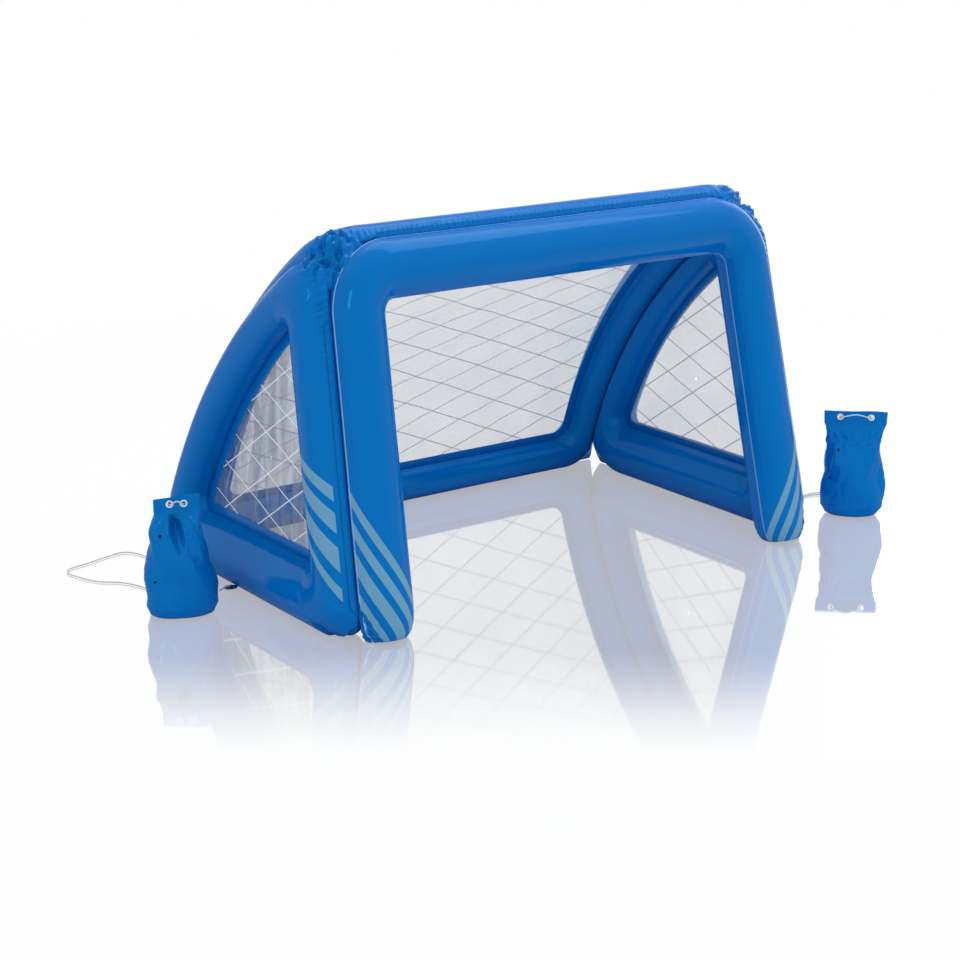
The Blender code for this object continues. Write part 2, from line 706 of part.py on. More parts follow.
def tie_tab(side, word, blue, black, grey, parent):
    """A tab at the floor seam of a side tube, with an eyelet and a short tail of tape in it."""
    step = 2 * pi / SECTION_SIDES
    low = SEAT_GAP + TIE_RING_LIP + SEAT_GAP
    flat = SIDE_FLOOR_TUBE_R * sin(step)
    rise = SIDE_FLOOR_TUBE_R * (1 - cos(2 * step)) - FLOOR_FLAT
    run = SIDE_FLOOR_TUBE_R * (sin(2 * step) - sin(step))
    start = HALF_WIDTH_SEAM + flat + run * (low + TAB_THICK + 2 * SEAT_GAP) / rise
    half = TAB_WIDE / 2
    round_end = arc((TAB_LONG - half, 0), half, -pi / 2, pi / 2, 9)
    outline = [(0, half), (0, -half), *round_end.tolist()]
    home = bpy.data.objects.new(f"{word}_tab_place", None)
    bpy.data.collections["pool_goal"].objects.link(home)
    home.parent = parent
    home.location = (side * start, TAB_DEPTH, 0)
    home.rotation_euler = (0, 0, 0 if side > 0 else pi)
    tab = plate(f"{word}_tie_tab", outline, low, TAB_THICK, blue, home)
    ring_x = TAB_LONG - half
    hole = cutter(f"{word}_tab_hole", cylinder(TAB_HOLE_R, -TAB_THICK, 4 * TAB_THICK), home)
    hole.location = (ring_x, 0, 0)
    cut(tab, hole)
    above = low + TAB_THICK + SEAT_GAP
    below = low - SEAT_GAP
    barrel = TAB_HOLE_R - SEAT_GAP
    ring = turned(f"{word}_tie_eyelet", [
        (TIE_RING_BORE_R, above + TIE_RING_LIP), (TIE_RING_R, above + TIE_RING_LIP),
        (TIE_RING_R, above), (barrel, above), (barrel, below), (TIE_RING_R, below),
        (TIE_RING_R, below - TIE_RING_LIP), (TIE_RING_BORE_R, below - TIE_RING_LIP),
    ], black, home)
    ring.location = (ring_x, 0, 0)
    top = above + TIE_RING_LIP + SEAT_GAP + TAIL_THICK / 2
    floor = SEAT_GAP + TAIL_THICK / 2
    edge = TAB_LONG + TAIL_THICK
    run = [(ring_x - TIE_RING_BORE_R, top), (edge, top), (edge + top, (top + floor) / 2),
           (edge + 2 * top, floor), (edge + TAIL_LONG, floor)]
    verts = [(x, y, z) for y in (-TAIL_WIDE / 2, TAIL_WIDE / 2) for x, z in run]
    count = len(run)
    faces = [(i, i + 1, i + 1 + count, i + count) for i in range(count - 1)]
    mesh = bpy.data.meshes.new(f"{word}_tie_tail")
    mesh.from_pydata(verts, [], faces)
    solidify(add_object(f"{word}_tie_tail", mesh, grey, home), TAIL_THICK)


# Anchor bags

# A filled bag's outline: share of the height up to its welded strip, share of the bag's width,
# share of its depth, and squareness
BAG_PROFILE = (
    (0.000, 0.74, 0.62, 2.1), (0.034, 0.86, 0.80, 2.2), (0.112, 0.94, 0.94, 2.3),
    (0.258, 0.97, 1.00, 2.4), (0.451, 0.97, 0.98, 2.4), (0.644, 0.96, 0.84, 2.5),
    (0.815, 0.96, 0.55, 3.0),
)
BAG_BODY_HEIGHT = BAG_HEIGHT - BAG_TAB_HEIGHT
BAG_NECK = 0.908
BAG_NECK_DEPTH = 0.24


def bag_rings(top_width):
    """Sections of a bag from its base up to the flat welded strip at its mouth."""
    rows = [(z * BAG_BODY_HEIGHT, BAG_WIDTH / 2 * w, BAG_DEPTH / 2 * d, p)
            for z, w, d, p in BAG_PROFILE]
    neck_width = (rows[-1][1] + top_width / 2) / 2
    rows.append((BAG_NECK * BAG_BODY_HEIGHT, neck_width, BAG_DEPTH / 2 * BAG_NECK_DEPTH, 4.0))
    rows.append((BAG_BODY_HEIGHT, top_width / 2, BAG_TAB_THICK / 2, 8.0))
    rows.append((BAG_HEIGHT, top_width / 2, BAG_TAB_THICK / 2, 8.0))
    turn = 2 * pi * (np.arange(BAG_SIDES) + 0.5) / BAG_SIDES
    c, s = np.cos(turn), np.sin(turn)
    rings = []
    for z, width, depth, power in rows:
        x = width * np.sign(c) * abs(c) ** (2 / power)
        y = depth * np.sign(s) * abs(s) ** (2 / power)
        rings.append(np.stack([x, y, np.full(BAG_SIDES, z)], -1))
    return np.array(rings)


def bag_matrix(word):
    """A bag's place: its local X runs along its width and its local Y towards its back."""
    bag = BAGS[word]
    x = bag["side"] * (HALF_WIDTH_SEAM + bag["out"])
    turned_by = Matrix.Rotation(radians(bag["turn"]), 4, "Z")
    return Matrix.Translation((x, bag["back"] - FOOTPRINT_MIDDLE, 0)) @ turned_by


def anchor_bag(word, blue, white):
    bag = BAGS[word]
    home = bpy.data.objects.new(f"{word}_bag_place", None)
    bpy.data.collections["pool_goal"].objects.link(home)
    home.matrix_local = bag_matrix(word)
    body = add_object(f"{word}_anchor_bag", loft(bag_rings(bag["top"]), False), blue, home)
    half = BAG_TAB_THICK / 2
    for number, sign in ((1, -1), (2, 1)):
        place = frame_at((sign * bag["eyelets"] / 2, 0, BAG_HEIGHT - EYELET_DROP), (0, -1, 0))
        hole = cylinder(EYELET_BARREL_R + SEAT_GAP, -2 * BAG_TAB_THICK, 2 * BAG_TAB_THICK)
        tool = cutter(f"{word}_bag_hole_{number}", hole, home)
        tool.matrix_local = place
        cut(body, tool)
        seat = half + SEAT_GAP
        lip = seat + EYELET_LIP
        eyelet = turned(f"{word}_bag_eyelet_{number}", [
            (EYELET_BORE_R, lip), (EYELET_R, lip), (EYELET_R, seat), (EYELET_BARREL_R, seat),
            (EYELET_BARREL_R, -seat), (EYELET_R, -seat), (EYELET_R, -lip), (EYELET_BORE_R, -lip),
        ], white, home)
        eyelet.matrix_local = place


# Ropes: each runs from its knot behind the bag along the floor and back, up the bag's back,
# out of one eyelet, into the other, and down to the knot again

ROPE_FLOOR = ROPE_D / 2 + 0.0005
ROPE_CLEAR = ROPE_D / 2 + 0.0014
EYELET_SLACK = EYELET_BORE_R - ROPE_D / 2

# The loops on the floor, as x and y from the middle of the bag
ROPE_LOOPS = {
    "left": (
        (0.063, 0.139), (0.088, 0.238), (0.105, 0.328), (0.108, 0.395), (0.083, 0.443),
        (0.033, 0.436), (-0.027, 0.419), (-0.075, 0.406), (-0.090, 0.383), (-0.082, 0.343),
        (-0.062, 0.292), (-0.019, 0.250), (0.003, 0.205), (0.011, 0.147),
    ),
    "right": (
        (0.067, 0.115), (0.057, 0.150), (0.024, 0.165), (-0.016, 0.166), (-0.061, 0.184),
        (-0.090, 0.241), (-0.101, 0.331), (-0.101, 0.401), (-0.090, 0.429), (-0.078, 0.401),
        (-0.080, 0.331), (-0.076, 0.261), (-0.052, 0.197), (-0.013, 0.174), (0.028, 0.175),
        (0.067, 0.163), (0.085, 0.121),
    ),
}
# Which side of the bag's back the knot lies on, and where
KNOT_SIDE = {"left": 1, "right": -1}
KNOT_AT = (0.016, BAG_DEPTH / 2 + 0.029)
# The rope lies on the lower edge of each eyelet's bore
EYELET_HEIGHT = BAG_HEIGHT - EYELET_DROP - EYELET_SLACK * 0.7


def smooth_route(route):
    """Points of a Catmull-Rom curve through a route, two to each of its stretches."""
    route = np.asarray(route, float)
    ends = [2 * route[0] - route[1], *route, 2 * route[-1] - route[-2]]
    points = []
    for a, b, c, d in zip(ends, ends[1:], ends[2:], ends[3:]):
        tb = np.linalg.norm(b - a) ** 0.5
        tc = tb + np.linalg.norm(c - b) ** 0.5
        td = tc + np.linalg.norm(d - c) ** 0.5
        for t in np.linspace(tb, tc, 2, endpoint=False):
            ab = a + (b - a) * t / tb
            bc = b + (c - b) * (t - tb) / (tc - tb)
            cd = c + (d - c) * (t - tc) / (td - tc)
            abc = ab + (bc - ab) * t / tc
            bcd = bc + (cd - bc) * (t - tb) / (td - tb)
            points.append(abc + (bcd - abc) * (t - tb) / (tc - tb))
    points.append(route[-1])
    points = np.array(points)
    points[:, 2] = np.maximum(points[:, 2], ROPE_FLOOR)
    return points


def rope_route(word):
    """The rope's own points in the final frame, and the middle of its knot."""
    half = BAGS[word]["eyelets"] / 2
    side = KNOT_SIDE[word]
    matrix = bag_matrix(word)

    def on_bag(x, y, z):
        return tuple(matrix @ Vector((x, y, z)))

    foot = (KNOT_AT[0], BAG_DEPTH / 2 + 0.014, ROPE_FLOOR + 0.001)
    profile = [*BAG_PROFILE[2:], (BAG_NECK, BAG_PROFILE[-1][1], BAG_NECK_DEPTH, 4.0)]

    def back_run(sign):
        """From the floor up to an eyelet, on one side of the bag's back."""
        run = [on_bag(sign * foot[0], foot[1], foot[2])]
        for z, width, depth, power in profile:
            x = foot[0] + (half - foot[0]) * min(1, 1.3 * z)
            bulge = (1 - (x / (BAG_WIDTH / 2 * width)) ** power) ** (1 / power)
            y = BAG_DEPTH / 2 * depth * bulge + ROPE_CLEAR
            run.append(on_bag(sign * x, y, z * BAG_BODY_HEIGHT))
        return run

    def through(sign, steps):
        return [on_bag(sign * half, y, EYELET_HEIGHT) for y in steps]

    knot = Vector(on_bag(side * KNOT_AT[0], KNOT_AT[1], KNOT_R * 0.7 + 0.002))
    middle = matrix.translation
    loop = [(middle.x + x, middle.y + y, ROPE_FLOOR) for x, y in ROPE_LOOPS[word]]
    leave = (Vector(loop[0]) - knot).normalized() * (KNOT_R + SEAT_GAP)
    arrive = Vector(on_bag(side * foot[0], foot[1], foot[2])) - knot
    arrive = arrive.normalized() * (KNOT_R + SEAT_GAP)
    lip = BAG_TAB_THICK / 2 + SEAT_GAP + EYELET_LIP
    bulge = min(half, 0.013)
    arch = 0.010 if half > bulge else 0.003
    front = [on_bag(-side * share * half, -lip - 0.0035 - bulge * (0.5 + 0.3 * (1 - abs(share))),
                    EYELET_HEIGHT + arch * (1 - share ** 2) + 0.001)
             for share in (0.88, 0.0, -0.88)]
    route = [tuple(knot + leave), *loop]
    route.append(on_bag(-side * KNOT_AT[0], KNOT_AT[1], ROPE_FLOOR))
    route += back_run(-side)
    route += through(-side, (lip + 0.0075, lip + 0.0015, -lip - 0.0015))
    route += front
    route += through(side, (-lip - 0.0015, lip + 0.0015, lip + 0.0075))
    route += back_run(side)[::-1]
    route.append(tuple(knot + arrive))
    return route, knot


def bag_rope(word, finish):
    route, knot_at = rope_route(word)
    points = smooth_route(route)
    length = np.linalg.norm(np.diff(points, axis=0), axis=1).sum()
    print(f"{word} rope: {length:.3f} m, {len(points)} points")
    curve = bpy.data.curves.new(f"{word}_bag_rope", "CURVE")
    curve.dimensions = "3D"
    curve.bevel_depth = ROPE_D / 2
    curve.bevel_resolution = 2
    curve.use_fill_caps = True
    spline = curve.splines.new("POLY")
    spline.points.add(len(points) - 1)
    for target, point in zip(spline.points, points):
        target.co = (*point, 1)
    curve.materials.append(finish)
    rope = bpy.data.objects.new(f"{word}_bag_rope", curve)
    bpy.data.collections["pool_goal"].objects.link(rope)
    shape = bmesh.new()
    bmesh.ops.create_uvsphere(shape, u_segments=10, v_segments=6, radius=KNOT_R)
    mesh = bpy.data.meshes.new(f"{word}_rope_knot")
    shape.to_mesh(mesh)
    shape.free()
    knot = add_object(f"{word}_rope_knot", mesh, finish, None)
    knot.location = knot_at


def main():
    for obj in list(bpy.data.objects):
        bpy.data.objects.remove(obj)
    for name in ("pool_goal", "cutters"):
        collection = bpy.data.collections.new(name)
        bpy.context.scene.collection.children.link(collection)
    blue = material("blue_vinyl", "#0A66B4", 0.35)
    clear = material("clear_vinyl", "#E8EFF0", 0.10, 0.30)
    black = material("black_plastic", "#15171A", 0.45)
    white = material("white_plastic", "#E9EEF0", 0.40)
    grey = material("grey_tape", "#B9BEC2", 0.70)
    cord = material("white_cord", "#D9DCDA", 0.80)

    origin = bpy.data.objects.new("goal_origin", None)
    bpy.data.collections["pool_goal"].objects.link(origin)
    origin.location = (0, -FOOTPRINT_MIDDLE, 0)

    front = chamber("front_chamber", front_rings, False, blue, origin)
    left = chamber("left_side_chamber", lambda wall=0.0: side_rings(-1, wall), True, blue, origin)
    right = chamber("right_side_chamber", lambda wall=0.0: side_rings(1, wall), True, blue, origin)
    back = chamber("back_chamber", back_rings, True, blue, origin)
    for side, word in ((-1, "left"), (1, "right")):
        side_window(side, word, blue, clear, origin)
        corner_gusset(side, word, (front, left if side < 0 else right, back), blue, origin)
        tie_tab(side, word, blue, black, grey, origin)
        anchor_bag(word, blue, white)
        bag_rope(word, cord)
    back_window(blue, clear, origin)
    seam_fins(blue, origin)

    leg = (-HALF_WIDTH_SEAM + FRONT_TUBE_R, FRONT_VALVE_HEIGHT, 0)
    seat = wall_point(front_place, leg, (FRONT_TUBE_R, 0, 0), (0, 1, 0))
    valve("front_valve", front, *seat, white, origin)
    floor = (SIDE_VALVE_DEPTH, SIDE_FLOOR_TUBE_R - FLOOR_FLAT, 0)
    seat = wall_point(side_place(-1), floor, (0, 0, SIDE_FLOOR_TUBE_R), (1, 0, 0))
    valve("left_side_valve", left, *seat, white, origin)
    seat = wall_point(side_place(1), floor, (0, 0, -SIDE_FLOOR_TUBE_R), (1, 0, 0))
    valve("right_side_valve", right, *seat, white, origin)
    rear = (BACK_VALVE_X, BACK_LONG + BACK_TUCK - BACK_FLOOR_TUBE_R, 0)
    seat = wall_point(back_place, rear, (0, 0, -BACK_FLOOR_TUBE_R), (1, 0, 0))
    valve("back_valve", back, *seat, white, origin)


main()
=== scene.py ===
# %% [markdown]
# # Dressing an inflatable pool goal
#
# The real goal is four air chambers of blue PVC film, welded along their edges, with clear
# film windows that have a net printed on them, and two bags that hold it in place. The packed
# model gives every piece its place. This script adds what the eye sees: the pleats beside the
# welds, the crumpled corners, the printed stripes, the gloss of the film and the light.

# %% Libraries and the fixed frame
from math import asin, atan, atan2, cos, hypot, pi, radians, sin, sqrt

import bpy
import numpy as np
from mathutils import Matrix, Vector


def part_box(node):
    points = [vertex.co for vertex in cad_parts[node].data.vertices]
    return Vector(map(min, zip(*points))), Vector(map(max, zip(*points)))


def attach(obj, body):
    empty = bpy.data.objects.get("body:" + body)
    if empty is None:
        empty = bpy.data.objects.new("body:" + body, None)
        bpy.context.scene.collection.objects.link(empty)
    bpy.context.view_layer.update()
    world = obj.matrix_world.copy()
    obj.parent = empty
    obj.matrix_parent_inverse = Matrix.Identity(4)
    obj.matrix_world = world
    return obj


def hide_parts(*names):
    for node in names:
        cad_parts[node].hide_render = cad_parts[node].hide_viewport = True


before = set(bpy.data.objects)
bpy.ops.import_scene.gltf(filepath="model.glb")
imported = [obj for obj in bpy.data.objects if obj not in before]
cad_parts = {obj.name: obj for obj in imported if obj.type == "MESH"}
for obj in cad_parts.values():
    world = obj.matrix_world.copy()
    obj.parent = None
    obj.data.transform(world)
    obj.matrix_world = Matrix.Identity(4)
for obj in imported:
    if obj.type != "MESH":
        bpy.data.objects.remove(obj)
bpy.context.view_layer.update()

# %% [markdown]
# ## The camera
#
# The photograph looks at the goal from in front and a little to its left, from about the
# height of a standing person's chest, with a long lens. A long lens flattens perspective, so
# the camera stands nearly five metres away.

# %% Camera
VIEW_TURN = radians(35.825)
VIEW_HEIGHT = radians(16.684)
VIEW_DISTANCE = 4.946
VIEW_TARGET = Vector((-0.0165, 0.0300, 0.1463))
LENS = 76.935

towards_camera = Vector((
    -sin(VIEW_TURN) * cos(VIEW_HEIGHT),
    -cos(VIEW_TURN) * cos(VIEW_HEIGHT),
    sin(VIEW_HEIGHT),
))
lens = bpy.data.cameras.new("photo_camera")
lens.lens = LENS
lens.sensor_width = 36
camera = bpy.data.objects.new("photo_camera", lens)
camera.location = VIEW_TARGET + towards_camera * VIEW_DISTANCE
camera.rotation_euler = towards_camera.to_track_quat("Z", "Y").to_euler()
bpy.context.scene.collection.objects.link(camera)
bpy.context.scene.camera = camera
print("camera at", [round(c, 3) for c in camera.location])

# %% [markdown]
# ## Surfaces from grids of points
#
# Every new piece is a surface with two parameters: numpy works out a grid of points, and each
# cell of the grid becomes a face. A sculpted mesh would do as well for one goal, but a formula
# can be made finer or coarser, and its pleats stay at their real size.

# %% A mesh from a grid
def surface(name, grid, wraps=(False, False), poles=(), uv=None, outward=True, holes=()):
    """A mesh whose faces are the cells of a grid of points.

    wraps says whether the rows, and the columns, close on themselves. poles are two points
    that close the first and the last row with a fan. uv gives each point two coordinates, with
    one more row or column where the grid wraps, so that no cell runs back over the pattern.
    A closed surface is turned outwards by the sign of its volume: the sum over its triangles
    of each one's corners' triple product. holes are (point, axis, radius): cells whose middle
    is nearer to that line than the radius are left out.
    """
    rows, columns = grid.shape[:2]
    spare_rows, spare_columns = (int(w) for w in wraps)
    i = np.arange(rows - 1 + spare_rows)[:, None]
    j = np.arange(columns - 1 + spare_columns)[None, :]
    corners = [(i, j), (i, j + 1), (i + 1, j + 1), (i + 1, j)]
    quads = np.stack([(a % rows) * columns + b % columns for a, b in corners], -1)
    quads = quads.reshape(-1, 4)
    width = columns + spare_columns
    pattern = np.stack([a * width + b for a, b in corners], -1).reshape(-1, 4)
    points = grid.reshape(-1, 3)
    for point, axis, radius in holes:
        away = points[quads].mean(1) - point
        away = away - (away @ axis)[:, None] * axis
        keep = np.linalg.norm(away, axis=1) > radius
        quads, pattern = quads[keep], pattern[keep]
    fans = np.zeros((0, 3), int)
    if len(poles):
        around = np.arange(columns)
        after = (around + 1) % columns
        start = len(points) + np.zeros(columns, int)
        last = (rows - 1) * columns
        fans = np.vstack([
            np.stack([start, after, around], -1),
            np.stack([start + 1, last + around, last + after], -1),
        ])
        points = np.vstack([points, poles])
    thirds = np.vstack([quads[:, [0, 1, 2]], quads[:, [0, 2, 3]], fans])
    a, b, c = points[thirds].transpose(1, 0, 2)
    if outward and np.einsum("ij,ij->", a, np.cross(b, c)) < 0:
        quads, pattern, fans = quads[:, ::-1], pattern[:, ::-1], fans[:, ::-1]
    loops = np.concatenate([quads.ravel(), fans.ravel()])
    starts = np.concatenate([np.arange(len(quads)) * 4, len(quads) * 4 + np.arange(len(fans)) * 3])
    mesh = bpy.data.meshes.new(name)
    mesh.vertices.add(len(points))
    mesh.vertices.foreach_set("co", points.astype(np.float32).ravel())
    mesh.loops.add(len(loops))
    mesh.loops.foreach_set("vertex_index", loops.astype(np.int32))
    mesh.polygons.add(len(starts))
    mesh.polygons.foreach_set("loop_start", starts.astype(np.int32))
    if uv is not None:
        layer = mesh.uv_layers.new(name="UVMap")
        flat = uv.reshape(-1, 2)[pattern.ravel()]
        flat = np.vstack([flat, np.zeros((fans.size, 2))])
        layer.data.foreach_set("uv", flat.astype(np.float32).ravel())
    mesh.update(calc_edges=True)
    mesh.validate()
    mesh.shade_smooth()
    return mesh


BOTH_SIDES = ((-1, "left"), (1, "right"))


def piece(mesh, body, finish, slot, *nodes, thickness=0.0):
    """An object that rides on a body in place of CAD nodes. thickness makes a film solid."""
    mesh.materials.append(finish)
    obj = bpy.data.objects.new(mesh.name, mesh)
    bpy.context.scene.collection.objects.link(obj)
    if thickness:
        wall = obj.modifiers.new("thickness", "SOLIDIFY")
        wall.thickness = thickness
        wall.offset = 0
    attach(obj, body)
    if nodes:
        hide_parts(*nodes)
    print(f"{mesh.name}: {len(mesh.polygons)} faces on {body}")
    return obj


def unit(vectors):
    """Vectors divided by their own lengths."""
    return vectors / np.linalg.norm(vectors, axis=-1, keepdims=True)


def full_turn(count):
    """That many angles, evenly round a full turn from zero."""
    return 2 * pi * np.arange(count) / count


def end_middles(grid):
    """The middles of the first and the last row of a tube's grid, which close its two ends."""
    return grid[0].mean(0), grid[-1].mean(0)


# %% Noise that closes on itself
def drift(t, waves, seed):
    """Slow random change along a loop: the mean of sines with whole numbers of waves.

    t runs from 0 to 1 around the loop, waves lists how many waves each sine has, and the
    phases come from the seed. The result lies between -1 and 1.
    """
    phases = np.random.default_rng(seed).uniform(0, 2 * pi, len(waves))
    return np.mean([np.sin(2 * pi * n * t + p) for n, p in zip(waves, phases)], axis=0)


def pleats(t, long, spacing, seed, sharp=1.6):
    """Pleats along a loop: a cosine raised to a power, so that the ridges are narrow.

    spacing is the mean distance from one pleat to the next on a loop of that length. The phase
    drifts, because no two pleats on a weld are equally far apart, and the height of each one
    drifts too. The result lies between 0 and 1.
    """
    phase = 2 * pi * round(long / spacing) * t + 3.4 * drift(t, (7, 19, 43), seed)
    wave = (0.5 + 0.5 * np.cos(phase)) ** sharp
    return wave * (0.60 + 0.40 * drift(t, (23, 57, 91), seed + 1))


def crumple(x, y, size, count, seed):
    """Crumpled film: flat facets that meet in sharp creases, with heights from 0 to 1.

    Each of count rounds folds the sheet along parallel lines in a random direction, about a
    size in metres apart: its height is a triangle wave, the distance to the nearest line. The
    fold also pushes the sheet along its lines, so that the creases of later rounds are kinked
    where they cross it. The height is the mean of all rounds.
    """
    chance = np.random.default_rng(seed)
    total = 0
    for turn, phase, pitch in chance.uniform((0, 0, 0.7), (pi, 1, 1.5), (count, 3)):
        along = (x * cos(turn) + y * sin(turn)) / (size * pitch) + phase
        fold = abs(2 * (along % 1) - 1)
        x, y = x - 0.35 * size * fold * sin(turn), y + 0.35 * size * fold * cos(turn)
        total = total + fold
    return total / count


# %% [markdown]
# ## Colours and the small tool for materials
#
# A colour is written the way a paint program shows it, as an sRGB hex value. Blender mixes
# light with linear values, so one function turns the one into the other. One more small
# function adds a node with its settings and links, and every material is built from it.

# %% Colour and nodes
def linear(colour, alpha=1.0):
    """An sRGB hex colour as linear red, green, blue and alpha."""
    parts = [int(colour[i:i + 2], 16) / 255 for i in (1, 3, 5)]
    parts = [c / 12.92 if c <= 0.04045 else ((c + 0.055) / 1.055) ** 2.4 for c in parts]
    return (*parts, alpha)


def feed(tree, node, sockets):
    """Fills a node's inputs. Each gets a value, a socket, or a node's first output in use."""
    for name, value in sockets.items():
        if isinstance(value, bpy.types.Node):
            value = next(output for output in value.outputs if output.enabled)
        if isinstance(value, bpy.types.NodeSocket):
            tree.links.new(value, node.inputs[name])
        else:
            node.inputs[name].default_value = value


def add(tree, kind, sockets, **settings):
    """Adds a node. settings are its own values, and sockets says what its inputs get."""
    made = tree.nodes.new("ShaderNode" + kind)
    for setting, value in settings.items():
        setattr(made, setting, value)
    feed(tree, made, sockets)
    return made


def new_material(name):
    """A new material, its nodes and its Principled BSDF."""
    made = bpy.data.materials.new(name)
    made.use_nodes = True
    return made, made.node_tree, made.node_tree.nodes["Principled BSDF"]


# %% [markdown]
# ## The blue film
#
# The goal is calendered PVC film, about 0.3 mm thick: vinyl rolled between hot steel cylinders,
# which leaves it glossy with a faint orange-peel swell. Dye makes it an even blue. Handling
# leaves soft cloudy patches in the gloss, so the roughness drifts over some centimetres, and
# the bump has a swell about 20 mm across. A tube seen edge-on would mirror the white studio and
# lose its blue, as a full Fresnel gloss does, so the gloss grows weaker towards the outline.
# Stripes are printed flat in pale blue ink before the film is welded, so they bend with the tube.
#
# The stripes could be separate thin pieces, but print has no thickness. Here each tube carries
# two pattern coordinates as its UV map: how far round from the outer weld, and how far along
# the slant of the stripes. A colour ramp with hard steps turns the second into bands.

# %% Blue PVC film, plain or printed
BLUE = "#0067B9"
BLUE_CLOUD = "#006EC0"
PRINT = "#6F9FC0"
WELD_HIGHLIGHT = "#A9C8EE"
WELD_HIGHLIGHT_HALF = 0.0085           # half a painted highlight line along a weld, as a share of the half turn
PATTERN_LENGTH = 0.4         # metres along the slant that the UV map's second axis covers
FRONT_BANDS = ((0.095, 0.127), (0.163, 0.211), (0.242, 0.277), (0.308, 0.3405))
SIDE_BANDS = ((0.129, 0.152), (0.182, 0.228), (0.2525, 0.2895), (0.3095, 0.336))


def blue_film(name, bands=(), round_from=0.0, round_to=1.0, weld_highlights=()):
    """Glossy blue PVC film, with printed bands between two shares of the half turn.

    The last argument holds (share, strength) of thin painted highlight lines along the welds.
    """
    made, tree, shader = new_material(name)
    facing = add(tree, "LayerWeight", {"Blend": 0.5}).outputs["Facing"]
    level = add(tree, "MapRange", {
        "Value": facing, "From Min": 0.13, "From Max": 0.64, "To Min": 0.46, "To Max": 0.03})
    place = add(tree, "TexCoord", {}).outputs
    cloud = add(tree, "TexNoise", {"Vector": place["Object"], "Scale": 7, "Detail": 3})
    colour = add(tree, "Mix", {"Factor": cloud, "A": linear(BLUE), "B": linear(BLUE_CLOUD)},
                 data_type="RGBA")
    if bands:
        uv = add(tree, "SeparateXYZ", {"Vector": place["UV"]}).outputs
        ramp = add(tree, "ValToRGB", {"Fac": uv["Y"]})
        ramp.color_ramp.interpolation = "CONSTANT"
        stops = ramp.color_ramp.elements
        stops[0].color = stops[1].color = (0, 0, 0, 1)
        for low, high in bands:
            stops.new(low / PATTERN_LENGTH).color = (1, 1, 1, 1)
            stops.new(high / PATTERN_LENGTH).color = (0, 0, 0, 1)
        past = add(tree, "Math", {0: uv["X"], 1: round_from}, operation="GREATER_THAN")
        short = add(tree, "Math", {0: uv["X"], 1: round_to}, operation="LESS_THAN")
        window = add(tree, "Math", {0: past, 1: short}, operation="MULTIPLY")
        ink = add(tree, "Math", {0: window, 1: ramp}, operation="MULTIPLY")
        colour = add(tree, "Mix", {"Factor": ink, "A": colour, "B": linear(PRINT)},
                     data_type="RGBA")
    # Painted highlights: thin light lines along each weld, where the tube's rounded edge would
    # catch the light.
    for share, strength in weld_highlights:
        line = add(tree, "Math", {0: uv["X"], 1: share, 2: WELD_HIGHLIGHT_HALF}, operation="COMPARE")
        painted_highlight = add(tree, "Math", {0: line, 1: strength}, operation="MULTIPLY")
        colour = add(tree, "Mix", {"Factor": painted_highlight, "A": colour, "B": linear(WELD_HIGHLIGHT)},
                     data_type="RGBA")
    gloss = add(tree, "TexNoise", {"Vector": place["Object"], "Scale": 11, "Detail": 2})
    rough = add(tree, "MapRange", {"Value": gloss, "To Min": 0.09, "To Max": 0.16})
    swell = add(tree, "TexNoise", {"Vector": place["Object"], "Scale": 45, "Detail": 1})
    bump = add(tree, "Bump", {"Height": swell, "Strength": 0.05, "Distance": 0.002})
    feed(tree, shader, {
        "Base Color": colour, "Roughness": rough, "Normal": bump, "IOR": 1.5,
        "Specular IOR Level": level, "Specular Tint": linear("#58E6FF")})
    return made


blue = blue_film("calendered_pvc_film")
# The front chamber's two weld lines are painted highlights, not a colour of the film.
blue_front = blue_film("printed_pvc_front_painted_highlights", FRONT_BANDS, 0.03, 1.0,
                       ((0.048, 0.75), (0.949, 0.40)))
blue_side = blue_film("printed_pvc_film_side", SIDE_BANDS, 0.161, 0.97)
print("blue films:", blue.name, blue_front.name, blue_side.name)

# %% [markdown]
# ## Small plastic, tape and cord finishes
#
# Valves and eyelets are injection moulded in soft white PVC: satin, with a faint mottling from
# the steel mould. The tie ring is black acetal, and the tail in it is woven polyester tape with
# ribs about a millimetre apart. The bags' rope is braided polypropylene: bright, slightly
# translucent fibre that scatters light along its strands.

# %% White and black mouldings, tape, rope
def moulding(name, colour, shade, roughness):
    """Injection moulded plastic: an even colour with a mottled satin gloss."""
    made, tree, shader = new_material(name)
    place = add(tree, "TexCoord", {}).outputs["Object"]
    mottle = add(tree, "TexNoise", {"Vector": place, "Scale": 300, "Detail": 2})
    tint = add(tree, "Mix", {"Factor": mottle, "A": linear(colour), "B": linear(shade)},
               data_type="RGBA")
    rough = add(tree, "MapRange", {
        "Value": mottle, "To Min": roughness - 0.06, "To Max": roughness + 0.08})
    bump = add(tree, "Bump", {"Height": mottle, "Strength": 0.15, "Distance": 0.0004})
    feed(tree, shader, {
        "Base Color": tint, "Roughness": rough, "Normal": bump, "IOR": 1.5,
        "Specular IOR Level": 0.4})
    return made


def fibre(name, colour, shade, threads):
    """Woven or braided fibre: painted shade between threads, which follow the piece's UV map."""
    made, tree, shader = new_material(name)
    place = add(tree, "TexCoord", {}).outputs["UV"]
    twill = add(tree, "Mapping", {"Vector": place, "Scale": (*threads, 1)})
    rib = add(tree, "TexWave", {"Vector": twill, "Scale": 1, "Distortion": 0.6},
              wave_type="BANDS", bands_direction="DIAGONAL").outputs["Fac"]
    # The gaps between threads get the shade colour: painted shade where the threads would hide them
    # from the light.
    tint = add(tree, "Mix", {"Factor": rib, "A": linear(shade), "B": linear(colour)},
               data_type="RGBA")
    bump = add(tree, "Bump", {"Height": rib, "Strength": 0.5, "Distance": 0.0003})
    feed(tree, shader, {
        "Base Color": tint, "Normal": bump, "Roughness": 0.7, "Sheen Weight": 0.25})
    return made


